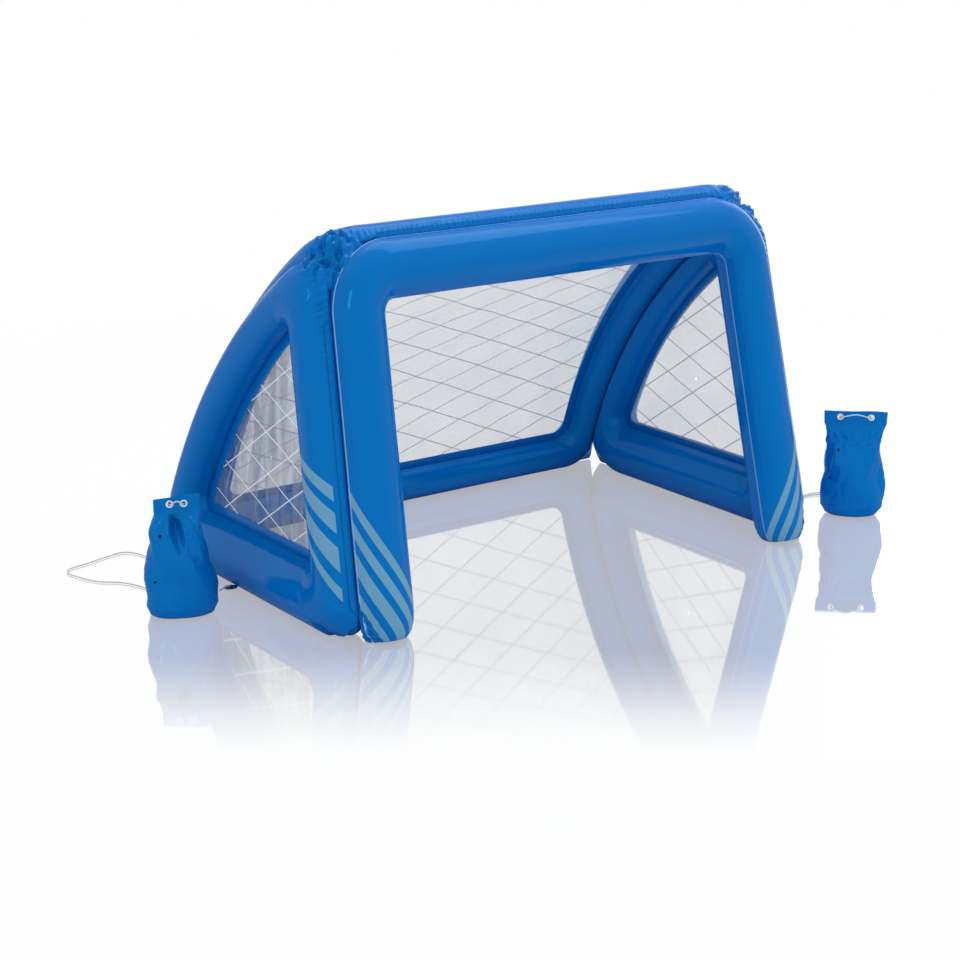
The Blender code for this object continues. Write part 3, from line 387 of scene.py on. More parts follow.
white_moulding = moulding("moulded_white_pvc", "#EEF1F2", "#E2E6E8", 0.38)
black_moulding = moulding("moulded_black_acetal", "#14161A", "#1D2024", 0.4)
braid = fibre("braided_polypropylene", "#E4E7E6", "#B4B8B8", (2, 120))
tape = fibre("woven_polyester_tape", "#C2C7CB", "#8E9499", (14, 2))

# %% [markdown]
# ## The anchor bags' ropes
#
# Each bag hangs on a thin braided rope about a metre and a half long. It passes through the
# bag's two eyelets, runs down the back and lies in a loose loop on the floor, where its ends
# are knotted. A rope could be a curve with a bevel; here it is a round profile carried along
# its path, so that the braid's strands can stand out of it.

# %% Where the ropes lie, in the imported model's frame
ROPE_D = 0.0032
ROPE_KEYS = {
    "left": (
        (-0.8026, 0.0642, 0.0058), (-0.7900, 0.1259, 0.0021), (-0.7650, 0.2249, 0.0021),
        (-0.7480, 0.3149, 0.0021), (-0.7450, 0.3819, 0.0021), (-0.7700, 0.4299, 0.0021),
        (-0.8200, 0.4229, 0.0021), (-0.8800, 0.4059, 0.0021), (-0.9280, 0.3929, 0.0021),
        (-0.9430, 0.3699, 0.0021), (-0.9350, 0.3299, 0.0021), (-0.9150, 0.2789, 0.0021),
        (-0.8720, 0.2369, 0.0021), (-0.8500, 0.1919, 0.0021), (-0.8420, 0.1339, 0.0021),
        (-0.8330, 0.0711, 0.0021), (-0.8391, 0.0574, 0.0031), (-0.8451, 0.0436, 0.0261),
        (-0.8435, 0.0467, 0.0601), (-0.8437, 0.0456, 0.1051), (-0.8466, 0.0385, 0.1501),
        (-0.8530, 0.0238, 0.1899), (-0.8600, 0.0080, 0.2116), (-0.8620, 0.0035, 0.2497),
        (-0.8645, -0.0020, 0.2497), (-0.8689, -0.0120, 0.2497), (-0.8709, -0.0209, 0.2530),
        (-0.8603, -0.0295, 0.2607), (-0.8468, -0.0317, 0.2530), (-0.8415, -0.0242, 0.2497),
        (-0.8371, -0.0142, 0.2497), (-0.8346, -0.0087, 0.2497), (-0.8326, -0.0042, 0.2116),
        (-0.8256, 0.0116, 0.1899), (-0.8189, 0.0261, 0.1501), (-0.8156, 0.0330, 0.1051),
        (-0.8149, 0.0339, 0.0601), (-0.8162, 0.0307, 0.0261), (-0.8099, 0.0443, 0.0031),
        (-0.8063, 0.0524, 0.0049),
    ),
    "right": (
        (0.9066, -0.2784, 0.0056), (0.9245, -0.2421, 0.0021), (0.9145, -0.2071, 0.0021),
        (0.8815, -0.1921, 0.0021), (0.8415, -0.1911, 0.0021), (0.7965, -0.1731, 0.0021),
        (0.7675, -0.1161, 0.0021), (0.7565, -0.0261, 0.0021), (0.7565, 0.0439, 0.0021),
        (0.7675, 0.0719, 0.0021), (0.7795, 0.0439, 0.0021), (0.7775, -0.0261, 0.0021),
        (0.7815, -0.0961, 0.0021), (0.8055, -0.1601, 0.0021), (0.8445, -0.1831, 0.0021),
        (0.8855, -0.1821, 0.0021), (0.9245, -0.1941, 0.0021), (0.9425, -0.2361, 0.0021),
        (0.9272, -0.3058, 0.0021), (0.9169, -0.3168, 0.0031), (0.9088, -0.3303, 0.0261),
        (0.9139, -0.3309, 0.0601), (0.9165, -0.3362, 0.1051), (0.9149, -0.3460, 0.1501),
        (0.9074, -0.3593, 0.1899), (0.8963, -0.3712, 0.2116), (0.8931, -0.3746, 0.2497),
        (0.8890, -0.3790, 0.2497), (0.8815, -0.3870, 0.2497), (0.8721, -0.3905, 0.2530),
        (0.8453, -0.3702, 0.2607), (0.8232, -0.3449, 0.2530), (0.8260, -0.3352, 0.2497),
        (0.8335, -0.3272, 0.2497), (0.8376, -0.3228, 0.2497), (0.8408, -0.3193, 0.2116),
        (0.8518, -0.3075, 0.1899), (0.8645, -0.2991, 0.1501), (0.8742, -0.2968, 0.1051),
        (0.8797, -0.2990, 0.0601), (0.8807, -0.3041, 0.0261), (0.8935, -0.2950, 0.0031),
        (0.8996, -0.2885, 0.0049),
    ),
}
KNOTS = {"left": (-0.8038, 0.0580, 0.0062), "right": (0.9038, -0.2840, 0.0062)}


# %% Carrying a profile along a path
def smooth_path(keys, steps):
    """A centripetal Catmull-Rom curve through the key points, with that many points a stretch.

    The curve's parameter grows by the square root of each stretch, which keeps close points
    from making loops. Each point is a blend of blends of the four key points around it.
    """
    keys = np.asarray(keys, float)
    ends = np.vstack([2 * keys[0] - keys[1], keys, 2 * keys[-1] - keys[-2]])
    a, b, c, d = ends[:-3], ends[1:-2], ends[2:-1], ends[3:]
    tb = np.linalg.norm(b - a, axis=1) ** 0.5
    tc = tb + np.linalg.norm(c - b, axis=1) ** 0.5
    td = tc + np.linalg.norm(d - c, axis=1) ** 0.5
    share = np.arange(steps) / steps
    t = (tb[:, None] + (tc - tb)[:, None] * share)[..., None]
    tb, tc, td = (value[:, None, None] for value in (tb, tc, td))
    a, b, c, d = (value[:, None] for value in (a, b, c, d))
    ab = a + (b - a) * t / tb
    bc = b + (c - b) * (t - tb) / (tc - tb)
    cd = c + (d - c) * (t - tc) / (td - tc)
    abc = ab + (bc - ab) * t / tc
    bcd = bc + (cd - bc) * (t - tb) / (td - tb)
    points = (abc + (bcd - abc) * (t - tb) / (tc - tb)).reshape(-1, 3)
    points = np.vstack([points, keys[-1]])
    points[:, 2] = np.maximum(points[:, 2], min(keys[:, 2]))
    return points


def even_path(points, step):
    """The same path with its points a fixed step apart, by its running length."""
    lengths = np.linalg.norm(np.diff(points, axis=0), axis=1)
    run = np.concatenate([[0], np.cumsum(lengths)])
    count = int(run[-1] / step) + 1
    at = np.linspace(0, run[-1], count)
    return np.stack([np.interp(at, run, points[:, k]) for k in range(3)], -1), run[-1]


def rope_surface(name, path, diameter, sides, strands, closed=False):
    """A rope as a tube: rings square to the path, with strands that wind round it.

    Each ring's radius is the rope's radius less a small share of the absolute sine of the
    angle plus the winding, so the strands stand out and the gaps lie lower.
    """
    ahead = unit(np.gradient(path, axis=0))
    if closed:
        ahead = unit(np.roll(path, -1, 0) - np.roll(path, 1, 0))
    across = unit(np.cross(ahead, (0.0, 0.0, 1.0) + 0.01 * ahead[:, ::-1]))
    over = np.cross(across, ahead)
    turn = full_turn(sides)
    winding = 2 * pi * np.arange(len(path))[:, None] * 0.045
    gap = abs(np.sin(strands / 2 * (turn + winding)))
    radius = diameter / 2 * (0.90 + 0.10 * gap)
    grid = path[:, None] + radius[..., None] * (
        across[:, None] * np.cos(turn)[None, :, None] + over[:, None] * np.sin(turn)[None, :, None]
    )
    u = np.arange(sides + 1) / sides + np.zeros((len(path) + closed, 1))
    v = np.arange(len(path) + closed)[:, None] * 0.01 + np.zeros((1, sides + 1))
    poles = () if closed else (path[0], path[-1])
    return surface(name, grid, (closed, True), poles, np.stack([u, v], -1))


# %% Ropes and their knots
for word in ("left", "right"):
    path, length = even_path(smooth_path(ROPE_KEYS[word], 8), 0.0015)
    mesh = rope_surface(f"{word}_rope", path, ROPE_D, 10, 4)
    rope = piece(mesh, f"{word}_weight", braid, "white_cord", f"{word}_bag_rope")
    turn = np.linspace(0, 2 * pi, 240, endpoint=False)
    overhand = 0.00150 * np.stack([
        np.sin(turn) + 2 * np.sin(2 * turn),
        np.cos(turn) - 2 * np.cos(2 * turn),
        -1.15 * np.sin(3 * turn),
    ], -1)
    tight = rope_surface(f"{word}_overhand_knot", np.array(KNOTS[word]) + overhand, ROPE_D, 10, 4,
                         closed=True)
    knot = piece(tight, f"{word}_weight", braid, "white_cord", f"{word}_rope_knot")
    tuple(path[0])
    print(f"{word} rope is {length:.3f} m long")

# %% [markdown]
# ## How the panels lie in space
#
# The goal's front leans back, its sides lean in, and its back is one curved sheet. A tube is
# drawn on its flat panel first, as a strip between two outlines, and then carried into space by
# the panel's own place function. These are the same sizes that the model was built from.

# %% Panel sizes
SEAM_X = 0.638               # front seams from the middle, at the floor
SPLAY = 0.050                # how much a side comes in, for each metre of height
FRONT_LEAN = 0.220           # how much the mouth leans back, for each metre of height
TOP_HEIGHT = 0.816
BACK_FOOT = np.array([0.823, 0.0])
CROWN = 1.300                # radius of the back's curve
MIDDLE = 0.4051              # the footprint's middle, behind the front seam
FLOOR_LINE = -0.0055         # a side's lower weld, as far down as the floor flattens its tube
SEAT_GAP = 0.0003            # between two pieces that lie on each other
SIDE_WIDTHS = (0.120, 0.100, 0.136)   # a side's tube at the front, at the back and on the floor
BACK_WIDTHS = (0.096, 0.104, 0.092)   # the back's tube at the top, at the sides, on the floor
REAR_CORNER = 0.120          # radius of a side's outer weld where it turns to the floor
BACK_CORNER = 0.110          # radius of the back's outer weld at its corners
LEAN = atan(FRONT_LEAN)
TOP = np.array([TOP_HEIGHT * FRONT_LEAN, TOP_HEIGHT])
TALL = TOP_HEIGHT / cos(LEAN)
PRESS = 0.00042              # half the gap that two pressed tubes keep, nearly

chord = BACK_FOOT - TOP
span = hypot(*chord)
CROWN_AT = (TOP + BACK_FOOT) / 2 + np.array([chord[1], -chord[0]]) / span * sqrt(
    CROWN ** 2 - span ** 2 / 4)
CROWN_FIRST = atan2(*(TOP - CROWN_AT)[::-1])
BACK_LONG = (CROWN_FIRST - atan2(*(BACK_FOOT - CROWN_AT)[::-1])) * CROWN
BACK_FLOOR = BACK_LONG + 0.002         # where the back's panel ends, at the floor
print(f"the back is {BACK_LONG:.3f} m long over its curve")


# %% Places of the three kinds of panel
def front_place(q, h):
    """Across and up the leaning mouth, with h into the goal: a flat plane, turned by the lean."""
    z = q[..., 1] * cos(LEAN) - h * sin(LEAN)
    y = q[..., 1] * sin(LEAN) + h * cos(LEAN)
    x = q[..., 0] * (1 - SPLAY * z / SEAM_X)
    return np.stack([x, y - MIDDLE, z], -1)


def side_place(side):
    """The place function of the panel on one side, which is -1 or 1."""
    def place(q, h):
        """Depth and height in the panel, with h into the goal: a flat plane that leans in."""
        y, z = q[..., 0], q[..., 1]
        return np.stack([side * (SEAM_X - SPLAY * z - h), y - MIDDLE, z], -1)
    return place


def back_place(q, h):
    """Across and down the back, with h inside the curve: part of a cylinder."""
    angle = CROWN_FIRST - q[..., 1] / CROWN
    y = CROWN_AT[0] + (CROWN - h) * np.cos(angle)
    z = CROWN_AT[1] + (CROWN - h) * np.sin(angle)
    x = q[..., 0] * (1 - SPLAY * z / SEAM_X)
    return np.stack([x, y - MIDDLE, z], -1)


def depths(p):
    """How far inside the front, side and back panels points lie."""
    y = p[..., 1] + MIDDLE
    front = y * cos(LEAN) - p[..., 2] * sin(LEAN)
    side = SEAM_X - SPLAY * p[..., 2] - abs(p[..., 0])
    back = CROWN - np.hypot(y - CROWN_AT[0], p[..., 2] - CROWN_AT[1])
    return [front, side, back]


# %% Outlines in the panels
def arc(centre, radius, start, end):
    """Points of a circular arc, four degrees or less apart."""
    angles = np.linspace(start, end, 49)
    return np.asarray(centre) + radius * np.stack([np.cos(angles), np.sin(angles)], -1)


def front_outline(inset, corner):
    """The mouth's upside-down U at an inset from the seams, from the left foot to the right."""
    half = SEAM_X - inset
    top = TALL - inset
    left = arc((-half + corner, top - corner), corner, pi, pi / 2)
    leg = np.vstack([(-half, 0.0), left])
    return np.vstack([leg, leg[::-1] * (-1, 1)])


def rear_centre(reach, low, corner):
    """The centre of a side's rear corner: its radius above a low line and inside the back's arc."""
    rear_y = CROWN_AT[0] + sqrt((reach - corner) ** 2 - (low + corner - CROWN_AT[1]) ** 2)
    return np.array([rear_y, low + corner])


def side_outline(front, back, floor, top_corner, rear_corner, toe_corner):
    """The side's closed outline, at insets from the front seam, the back seam and the floor.

    The top corner's centre is where a line beside the front seam and an arc inside the back's
    curve are both a corner's radius away.
    """
    normal = np.array([-cos(LEAN), sin(LEAN)])
    up = np.array([sin(LEAN), cos(LEAN)])
    base = -(front + top_corner) * normal
    reach = CROWN - back
    gap = base - CROWN_AT
    along = gap @ up
    top = base + (sqrt(along ** 2 - gap @ gap + (reach - top_corner) ** 2) - along) * up
    low = floor + FLOOR_LINE
    rear = rear_centre(reach, low, rear_corner)
    toe_z = low + toe_corner
    toe = np.array([(front + toe_corner + toe_z * sin(LEAN)) / cos(LEAN), toe_z])
    top_turn = atan2(*(top - CROWN_AT)[::-1])
    rear_turn = atan2(*(rear - CROWN_AT)[::-1])
    return np.vstack([
        arc(toe, toe_corner, 3 * pi / 2, pi - LEAN),
        arc(top, top_corner, pi - LEAN, top_turn),
        arc(CROWN_AT, reach, top_turn, rear_turn)[1:-1],
        arc(rear, rear_corner, rear_turn, -pi / 2),
    ])


def back_outline(top, side, floor, corner):
    """The back's closed outline: a rectangle with round corners, at insets from its edges."""
    half = SEAM_X - side
    low = BACK_FLOOR - floor
    left = np.vstack([
        arc((-half + corner, top + corner), corner, -pi / 2, -pi),
        arc((-half + corner, low - corner), corner, pi, pi / 2),
    ])
    return np.vstack([left, left[::-1] * (-1, 1)])


def even_strip(outer, inner, step, closed):
    """Both outlines with points a step apart, measured along the line midway between them."""
    if closed:
        outer, inner = (np.vstack([line, line[:1]]) for line in (outer, inner))
    middle = (outer + inner) / 2
    run = np.concatenate([[0], np.cumsum(np.linalg.norm(np.diff(middle, axis=0), axis=1))])
    count = int(run[-1] / step)
    at = np.linspace(0, run[-1], count, endpoint=not closed)
    strips = [np.stack([np.interp(at, run, line[:, k]) for k in (0, 1)], -1)
              for line in (outer, inner)]
    return *strips, at / run[-1], run[-1]


# %% [markdown]
# ## The air chambers
#
# An air chamber is two sheets of film welded along both edges and blown up, so its section is
# nearly round. Where two chambers meet they press flat against each other, and where a tube
# turns a corner the film has too much length on the inside of the bend and folds into short
# pleats beside the weld. A cloth simulation would find such pleats too, but not the same ones
# at each size of grid. So they are drawn: a round section, trimmed where it would cross into
# the next panel, and drawn in a little where a pleat lies.

# %% A tube between two outlines
SIDES = 64
TURN = full_turn(SIDES)                       # 0 at the outer weld, pi at the inner one
TURN = TURN - 0.3 * np.sin(2 * TURN)          # points lie closer together beside the welds


def soften(values, width, closed):
    """Values along a run, averaged with a smooth window of that many samples."""
    window = np.hanning(width + 2)[1:-1]
    padded = np.pad(values, width // 2, "wrap" if closed else "edge")
    return np.convolve(padded, window / window.sum(), "valid")[:len(values)]


def bend_share(middle, closed, tightest):
    """How strongly the run bends at each point, from 0 on a straight to 1 in a tight corner.

    The angle between two steps, over the length of a step, is the bend in radians a metre.
    """
    step = np.linalg.norm(middle[1] - middle[0])
    ahead = unit(np.roll(middle, -1, 0) - middle)
    before = np.roll(ahead, 1, 0)
    turn = abs(ahead[:, 0] * before[:, 1] - ahead[:, 1] * before[:, 0])
    if not closed:
        turn[:2] = 0
        turn[-2:] = 0
    return np.clip(soften(turn / step, int(0.067 / step), closed) / tightest, 0, 1)


def tube(outer, inner, place, own, closed, relief, rims, radius_share=None):
    """A grid of points round a tube.

    Each section is an ellipse across the strip, as high as the strip is wide square to its run,
    and this height changes slowly along the run, as it does in film that can't stretch. A point
    that would lie nearer to another panel than to its own moves in along its own radius, found
    by halving the interval, until both are equally far. relief then draws the skin in further,
    in metres. rims are angles where the flattened edge of a weld stands out as a thin line.
    """
    middle = (outer + inner) / 2
    reach = (outer - inner) / 2
    ahead = np.gradient(middle, axis=0)
    if closed:
        ahead = np.roll(middle, -1, 0) - np.roll(middle, 1, 0)
    run = unit(ahead)
    radius = abs(reach[:, 0] * run[:, 1] - reach[:, 1] * run[:, 0])
    straight = np.flatnonzero(bend_share(middle, closed, 13) < 0.02)
    count = len(middle)
    radius = np.interp(np.arange(count), straight, radius[straight],
                       period=count if closed else None)
    radius = soften(radius, int(0.11 / np.linalg.norm(middle[1] - middle[0])), closed)[:, None]
    relief = relief - 0.0018 * sum(beside(rim, 0.055) for rim in rims)
    grown = np.ones((len(middle), 1)) if radius_share is None else radius_share[:, None]

    def points(share):
        """The section's points at a share of their full distance from its middle."""
        flat = middle[:, None] + reach[:, None] * (np.cos(TURN) * share)[..., None]
        return place(flat, radius * np.sin(TURN) * share)

    def free(share):
        """Whether each point lies nearer to its own panel than to both others, with the gap."""
        near = depths(points(share))
        mine = near.pop(own)
        return mine <= np.minimum(*near) - PRESS

    low = np.zeros((len(middle), SIDES))
    high = low + grown
    whole = free(high)
    for _ in range(26):
        half = (low + high) / 2
        fits = free(half)
        low = np.where(fits, half, low)
        high = np.where(fits, high, half)
    share = np.where(whole, grown, low) - relief / radius
    grid = points(share)
    grid[..., 2] = np.maximum(grid[..., 2], 0.0003)
    return grid


def beside(weld, width):
    """How near a point of the section is to a weld: a bell of that width in radians."""
    away = abs((TURN - weld + pi) % (2 * pi) - pi)
    return np.exp(-(away / width) ** 2)


def inner_pleats(bend, t, long, seed):
    """Pleats beside the inner weld, as deep as the run bends: a bell times a pleated wave."""
    return 0.0011 * bend * beside(pi, 0.45) * pleats(t, long, 0.013, seed)[:, None]


def unevenness(t, seed):
    """A slow change of the whole section, up to 0.8 mm: no weld is quite straight."""
    return 0.0004 * (1 + drift(t, (3, 5, 9), seed))[:, None]


# %% Front chamber: two legs and the crossbar
outer, inner, t, long = even_strip(
    front_outline(0.0, 0.150), front_outline(0.128, 0.035), 0.0022, False)
middle = (outer + inner) / 2
height = middle[:, 1] * cos(LEAN)
grown = np.interp(height, (0, 0.006, 0.016, 0.036, 0.065), (0.70, 0.80, 0.885, 0.97, 1.0))
bend = bend_share(middle, False, 13)[:, None]
foot = np.exp(-(height / 0.038) ** 2)[:, None]
on_top = np.exp(-((TALL - outer[:, 1]) / 0.05) ** 2)[:, None]
relief = inner_pleats(bend, t, long, 11)
relief = relief + 0.0002 * beside(0, 0.34) * pleats(t, long, 0.012, 12)[:, None]
toe_weld = np.exp(-(height / 0.075) ** 4)[:, None] * np.exp(-((2 * pi - TURN) / 1.0) ** 2)
relief = relief + 0.0150 * toe_weld * crumple(
    height[:, None] + 0 * TURN, 0.064 * (2 * pi - TURN) + 0 * bend, 0.030, 3, 16)
relief = relief + 0.0048 * foot * (0.2 + beside(0, 1.0)) * pleats(t, long, 0.021, 13)[:, None]
relief = relief + 0.0010 * on_top * beside(0.3, 0.2) * pleats(t, long, 0.011, 15)[:, None]
relief = relief + unevenness(t, 14)
front_skin = tube(outer, inner, front_place, 0, False, relief, (2 * pi - 0.15, pi + 0.16), grown)
angle = (2 * pi - np.append(TURN, 2 * pi))[None]
slant = middle[:, 1:2] + 0.1082 * angle
uv = np.stack([angle / pi + 0 * slant, slant / PATTERN_LENGTH], -1)
mesh = surface("front_chamber_skin", front_skin, (False, True), end_middles(front_skin), uv)
piece(mesh, "goal", blue_front, "blue_vinyl", "front_chamber")

# %% Side chambers: closed loops
side_skins = {}
outer, inner, t, long = even_strip(
    side_outline(0, 0, 0, 0.075, REAR_CORNER, 0.060),
    side_outline(*SIDE_WIDTHS, 0.030, 0.030, 0.030), 0.0020, True)
middle = (outer + inner) / 2
bend = bend_share(middle, True, 13)[:, None]
from_front = middle[:, 0] * cos(LEAN) - middle[:, 1] * sin(LEAN)
along = middle[:, 0] * sin(LEAN) + middle[:, 1] * cos(LEAN)
before = from_front < 0.12
up_front = (np.exp(-((along - 0.70) / 0.10) ** 2) * before)[:, None]
toe = (np.exp(-((along - 0.05) / 0.07) ** 2) * before)[:, None]
for side, word in BOTH_SIDES:
    relief = inner_pleats(bend, t, long, 21 + side)
    relief = relief + 0.0010 * (bend + 0.1) * beside(0, 0.3) * pleats(t, long, 0.012, 24)[:, None]
    relief = relief + 0.0072 * up_front * beside(2 * pi - 0.36, 0.19) * pleats(
        t, long, 0.0125, 26 + side, 3.0)[:, None]
    relief = relief + 0.0170 * toe * beside(2 * pi - 0.5, 0.7) * crumple(
        along[:, None] + 0 * TURN, 0.060 * (2 * pi - TURN) + 0 * bend, 0.030, 3, 28 + side)
    relief = relief + unevenness(t, 25 + side)
    side_skins[word] = tube(outer, inner, side_place(side), 1, True, relief,
                            (pi - 0.16, pi + 0.16))
    slant = np.append(along, along[0])[:, None] - 0.03638 * angle
    on_front = abs(np.append(from_front, from_front[0]) - 0.060)[:, None] < 0.010
    round_share = np.where(on_front, angle / pi, 3.0)
    uv = np.stack([round_share + 0 * slant, slant / PATTERN_LENGTH], -1)
    mesh = surface(f"{word}_side_chamber_skin", side_skins[word], (True, True), (), uv)
    piece(mesh, "goal", blue_side, "blue_vinyl", f"{word}_side_chamber")

# %% Back chamber: one closed loop on the curved sheet
outer, inner, t, long = even_strip(
    back_outline(0, 0, 0, BACK_CORNER), back_outline(*BACK_WIDTHS, 0.050), 0.0025, True)
middle = (outer + inner) / 2
bend = bend_share(middle, True, 9.4)[:, None]
at_top = np.exp(-(outer[:, 1] / 0.06) ** 2)[:, None]
relief = inner_pleats(bend, t, long, 31)
relief = relief + 0.0010 * (bend + 0.15) * beside(0, 0.3) * pleats(t, long, 0.013, 32)[:, None]
relief = relief + 0.0026 * at_top * beside(2 * pi - 0.34, 0.26) * pleats(
    t, long, 0.0135, 33)[:, None]
relief = relief + unevenness(t, 34)
back_skin = tube(outer, inner, back_place, 2, True, relief, (pi - 0.16, pi + 0.16))
piece(surface("back_chamber_skin", back_skin, (True, True)), "goal", blue, "blue_vinyl",
      "back_chamber")

# %% [markdown]
# ## The windows
#
# Each panel's middle is a sheet of clear film, welded to a flat blue rim inside the tube. A
# net is printed on it in white ink. Clear PVC is never quite flat: it carries long soft ripples
# between its welds and small crinkles where it overlaps the rim, and those catch the light in
# streaks. The film is real geometry with ripples, and its print is drawn by two pattern
# coordinates that count the net's meshes, so a line lies wherever one of them is whole. From
# inside the goal the ink is seen against the light, so it looks grey there.

# %% Clear printed film
NET_LINE = 0.016             # half a printed line, as a share of a mesh of the net


def clear_film(name, ink_colour, fold_shade, streak_highlight, thin, thick, streaks):
    """Clear PVC film with a printed net, which lies where a UV coordinate is a whole number.

    The next two colours are painted shade in the film's folds and a painted highlight beside
    them. thin and thick are the least and most of its haze, and streaks says how strong its long
    wrinkles are.
    """
    made, tree, shader = new_material(name)
    place = add(tree, "TexCoord", {}).outputs
    uv = add(tree, "SeparateXYZ", {"Vector": place["UV"]}).outputs
    lines = []
    for axis in ("X", "Y"):
        near = add(tree, "Math", {0: uv[axis], 1: 1.0}, operation="PINGPONG")
        lines.append(add(tree, "Math", {0: near, 1: 1 - NET_LINE}, operation="GREATER_THAN"))
        lines.append(add(tree, "Math", {0: near, 1: NET_LINE}, operation="LESS_THAN"))
    ink = lines[0]
    for line in lines[1:]:
        ink = add(tree, "Math", {0: ink, 1: line}, operation="MAXIMUM")
    stretch = add(tree, "Mapping", {"Vector": place["Object"], "Scale": (30, 30, 5)})
    folds = add(tree, "TexNoise", {"Vector": stretch, "Scale": 1, "Detail": 5, "Distortion": 0.8})
    haze = add(tree, "TexNoise", {"Vector": place["Object"], "Scale": 8, "Detail": 5})
    haze_and_painted_light = add(tree, "Mix", {"Factor": streaks, "A": haze, "B": folds})
    # The film's colour runs from painted shade in its folds to a painted highlight beside them, by
    # the noise that also sets its haze and bump.
    tint = add(tree, "Mix", {"Factor": haze_and_painted_light, "A": linear(fold_shade), "B": linear(streak_highlight)},
               data_type="RGBA")
    colour = add(tree, "Mix", {"Factor": ink, "A": tint, "B": linear(ink_colour)},
                 data_type="RGBA")
    cover = add(tree, "MapRange", {
        "Value": haze_and_painted_light, "From Min": 0.3, "From Max": 0.7, "To Min": thin, "To Max": thick})
    alpha = add(tree, "Mix", {"Factor": ink, "A": cover, "B": 0.9})
    bump = add(tree, "Bump", {
        "Height": haze_and_painted_light, "Strength": 0.1 + 0.25 * streaks, "Distance": 0.006})
    feed(tree, shader, {
        "Base Color": colour, "Alpha": alpha, "Normal": bump, "Roughness": 0.15, "IOR": 1.53,
        "Specular IOR Level": 0.5})
    return made


film_back = clear_film(
    "clear_pvc_seen_from_inside", "#A2A8A9", "#C6CED2", "#DDE3E5", 0.42, 0.54, 0.2)
# Seen from outside, the film's folds are painted a deep blue-grey shade.
film_outside = clear_film(
    "clear_pvc_seen_from_outside", "#F4F7F9", "#3C4E73", "#8A97AE", 0.26, 0.90, 1.0)


# %% Side windows
NET_ALONG = np.array([-0.0850, 0.0555])       # one mesh of the net along its first lines
NET_ACROSS = np.array([-0.0945, -0.0380])
NET_START = np.array([0.4906, 0.3145])
RIM = 0.020                  # width of the weld lap inside the tube
LAP_UNDER = 0.004            # how far the lap runs on under the tube
FILM_EDGE = RIM - 0.005      # where the film's edge lies on the lap
RIM_FILM = 0.0008            # thickness of the lap
FILM_HEIGHT = RIM_FILM / 2 + SEAT_GAP + 0.0002      # and half the clear film's thickness


def swell(x, y, sizes, seed):
    """Soft ripples: the mean of sines of the given lengths in metres, in random directions."""
    chance = np.random.default_rng(seed)
    total = 0
    for size in sizes:
        turn, phase = chance.uniform(0, 2 * pi, 2)
        total = total + np.sin(2 * pi * (x * cos(turn) + y * sin(turn)) / size + phase)
    return total / len(sizes)


def side_window_edge(inset):
    """The window's outline at an inset from the tube, with its corners' radii to match."""
    corners = [max(0.030 - inset, 0.010)] * 3
    return side_outline(*(width + inset for width in SIDE_WIDTHS), *corners)


def back_window_edge(inset, corner):
    """The back window's outline at an inset from the tube, with round corners."""
    return back_outline(*(width + inset for width in BACK_WIDTHS), corner)


def window_weld(name, wide, narrow, step, place, seed, node):
    """The weld lap between two outlines: flat film that rises in small pleats along its middle."""
    wide, narrow, t, long = even_strip(wide, narrow, step, True)
    across = np.linspace(0, 1, 7)
    q = wide[:, None] * (1 - across)[None, :, None] + narrow[:, None] * across[None, :, None]
    wave = 0.0007 * np.sin(pi * across) * pleats(t, long, 0.017, seed)[:, None]
    piece(surface(name, place(q, wave), (True, False)), "goal", blue, "blue_vinyl", node,
          thickness=RIM_FILM)


for side, word, film in ((-1, "left", film_outside), (1, "right", film_back)):
    place = side_place(side)
    window_weld(f"{word}_window_weld", side_window_edge(-LAP_UNDER), side_window_edge(RIM), 0.004,
                place, 41 + side, f"{word}_window_rim")
    edge, _, t, long = even_strip(side_window_edge(FILM_EDGE), side_window_edge(RIM), 0.004, True)
    centre = edge.mean(0)
    share = np.linspace(0.02, 1, 46)
    q = centre + (edge[:, None] - centre) * share[None, :, None]
    bulge = 0.0022 * (1 - share ** 6) * swell(
        q[..., 0], q[..., 1], (0.31, 0.17, 0.11, 0.07), 43 + side)
    lap = 0.0015 * np.exp(-((1 - share) / 0.10) ** 2) * pleats(t, long, 0.018, 45)[:, None]
    net = np.linalg.solve(np.stack([NET_ALONG, NET_ACROSS], 1), (q - NET_START).reshape(-1, 2).T)
    net = net.T.reshape(q.shape)
    net = np.concatenate([net, net[:1]])
    height = np.where(share > 0.9, abs(bulge), bulge) + FILM_HEIGHT + lap
    mesh = surface(f"{word}_window_sheet", place(q, height), (True, False), (), net)
    piece(mesh, "goal", film, "clear_vinyl", f"{word}_window_film")

# %% Back window
NET_PITCH = 0.0905           # distance down the sheet from one printed line to the next
NET_SLOPE = 0.46             # how far a line drops or rises for each metre across

window_weld("back_window_weld", back_window_edge(-LAP_UNDER, 0.054), back_window_edge(RIM, 0.030),
            0.005, back_place, 51, "back_window_rim")
left = back_window_edge(FILM_EDGE, 0.035)
left = left[:len(left) // 2]
left, _, t, long = even_strip(left, left * (1.0001, 1), 0.006, False)
across = np.linspace(-1, 1, 170)
q = np.stack([-left[:, :1] * across, left[:, 1:] + 0 * across], -1)
beside_edge = abs(left[:, :1]) * (1 - abs(across))
above_edge = np.minimum(left[:, 1:] - left[0, 1], left[-1, 1] - left[:, 1:]) + 0 * across
edge = np.minimum(beside_edge, above_edge)
bulge = 0.0030 * (1 - np.exp(-(edge / 0.05) ** 2)) * swell(
    q[..., 0], q[..., 1], (0.42, 0.23, 0.15, 0.09), 52)
lap = np.exp(-(beside_edge / 0.018) ** 2) * pleats(t, long, 0.017, 53)[:, None]
lap = lap + np.exp(-(above_edge / 0.018) ** 2) * pleats(across / 2, 2.1, 0.017, 54)
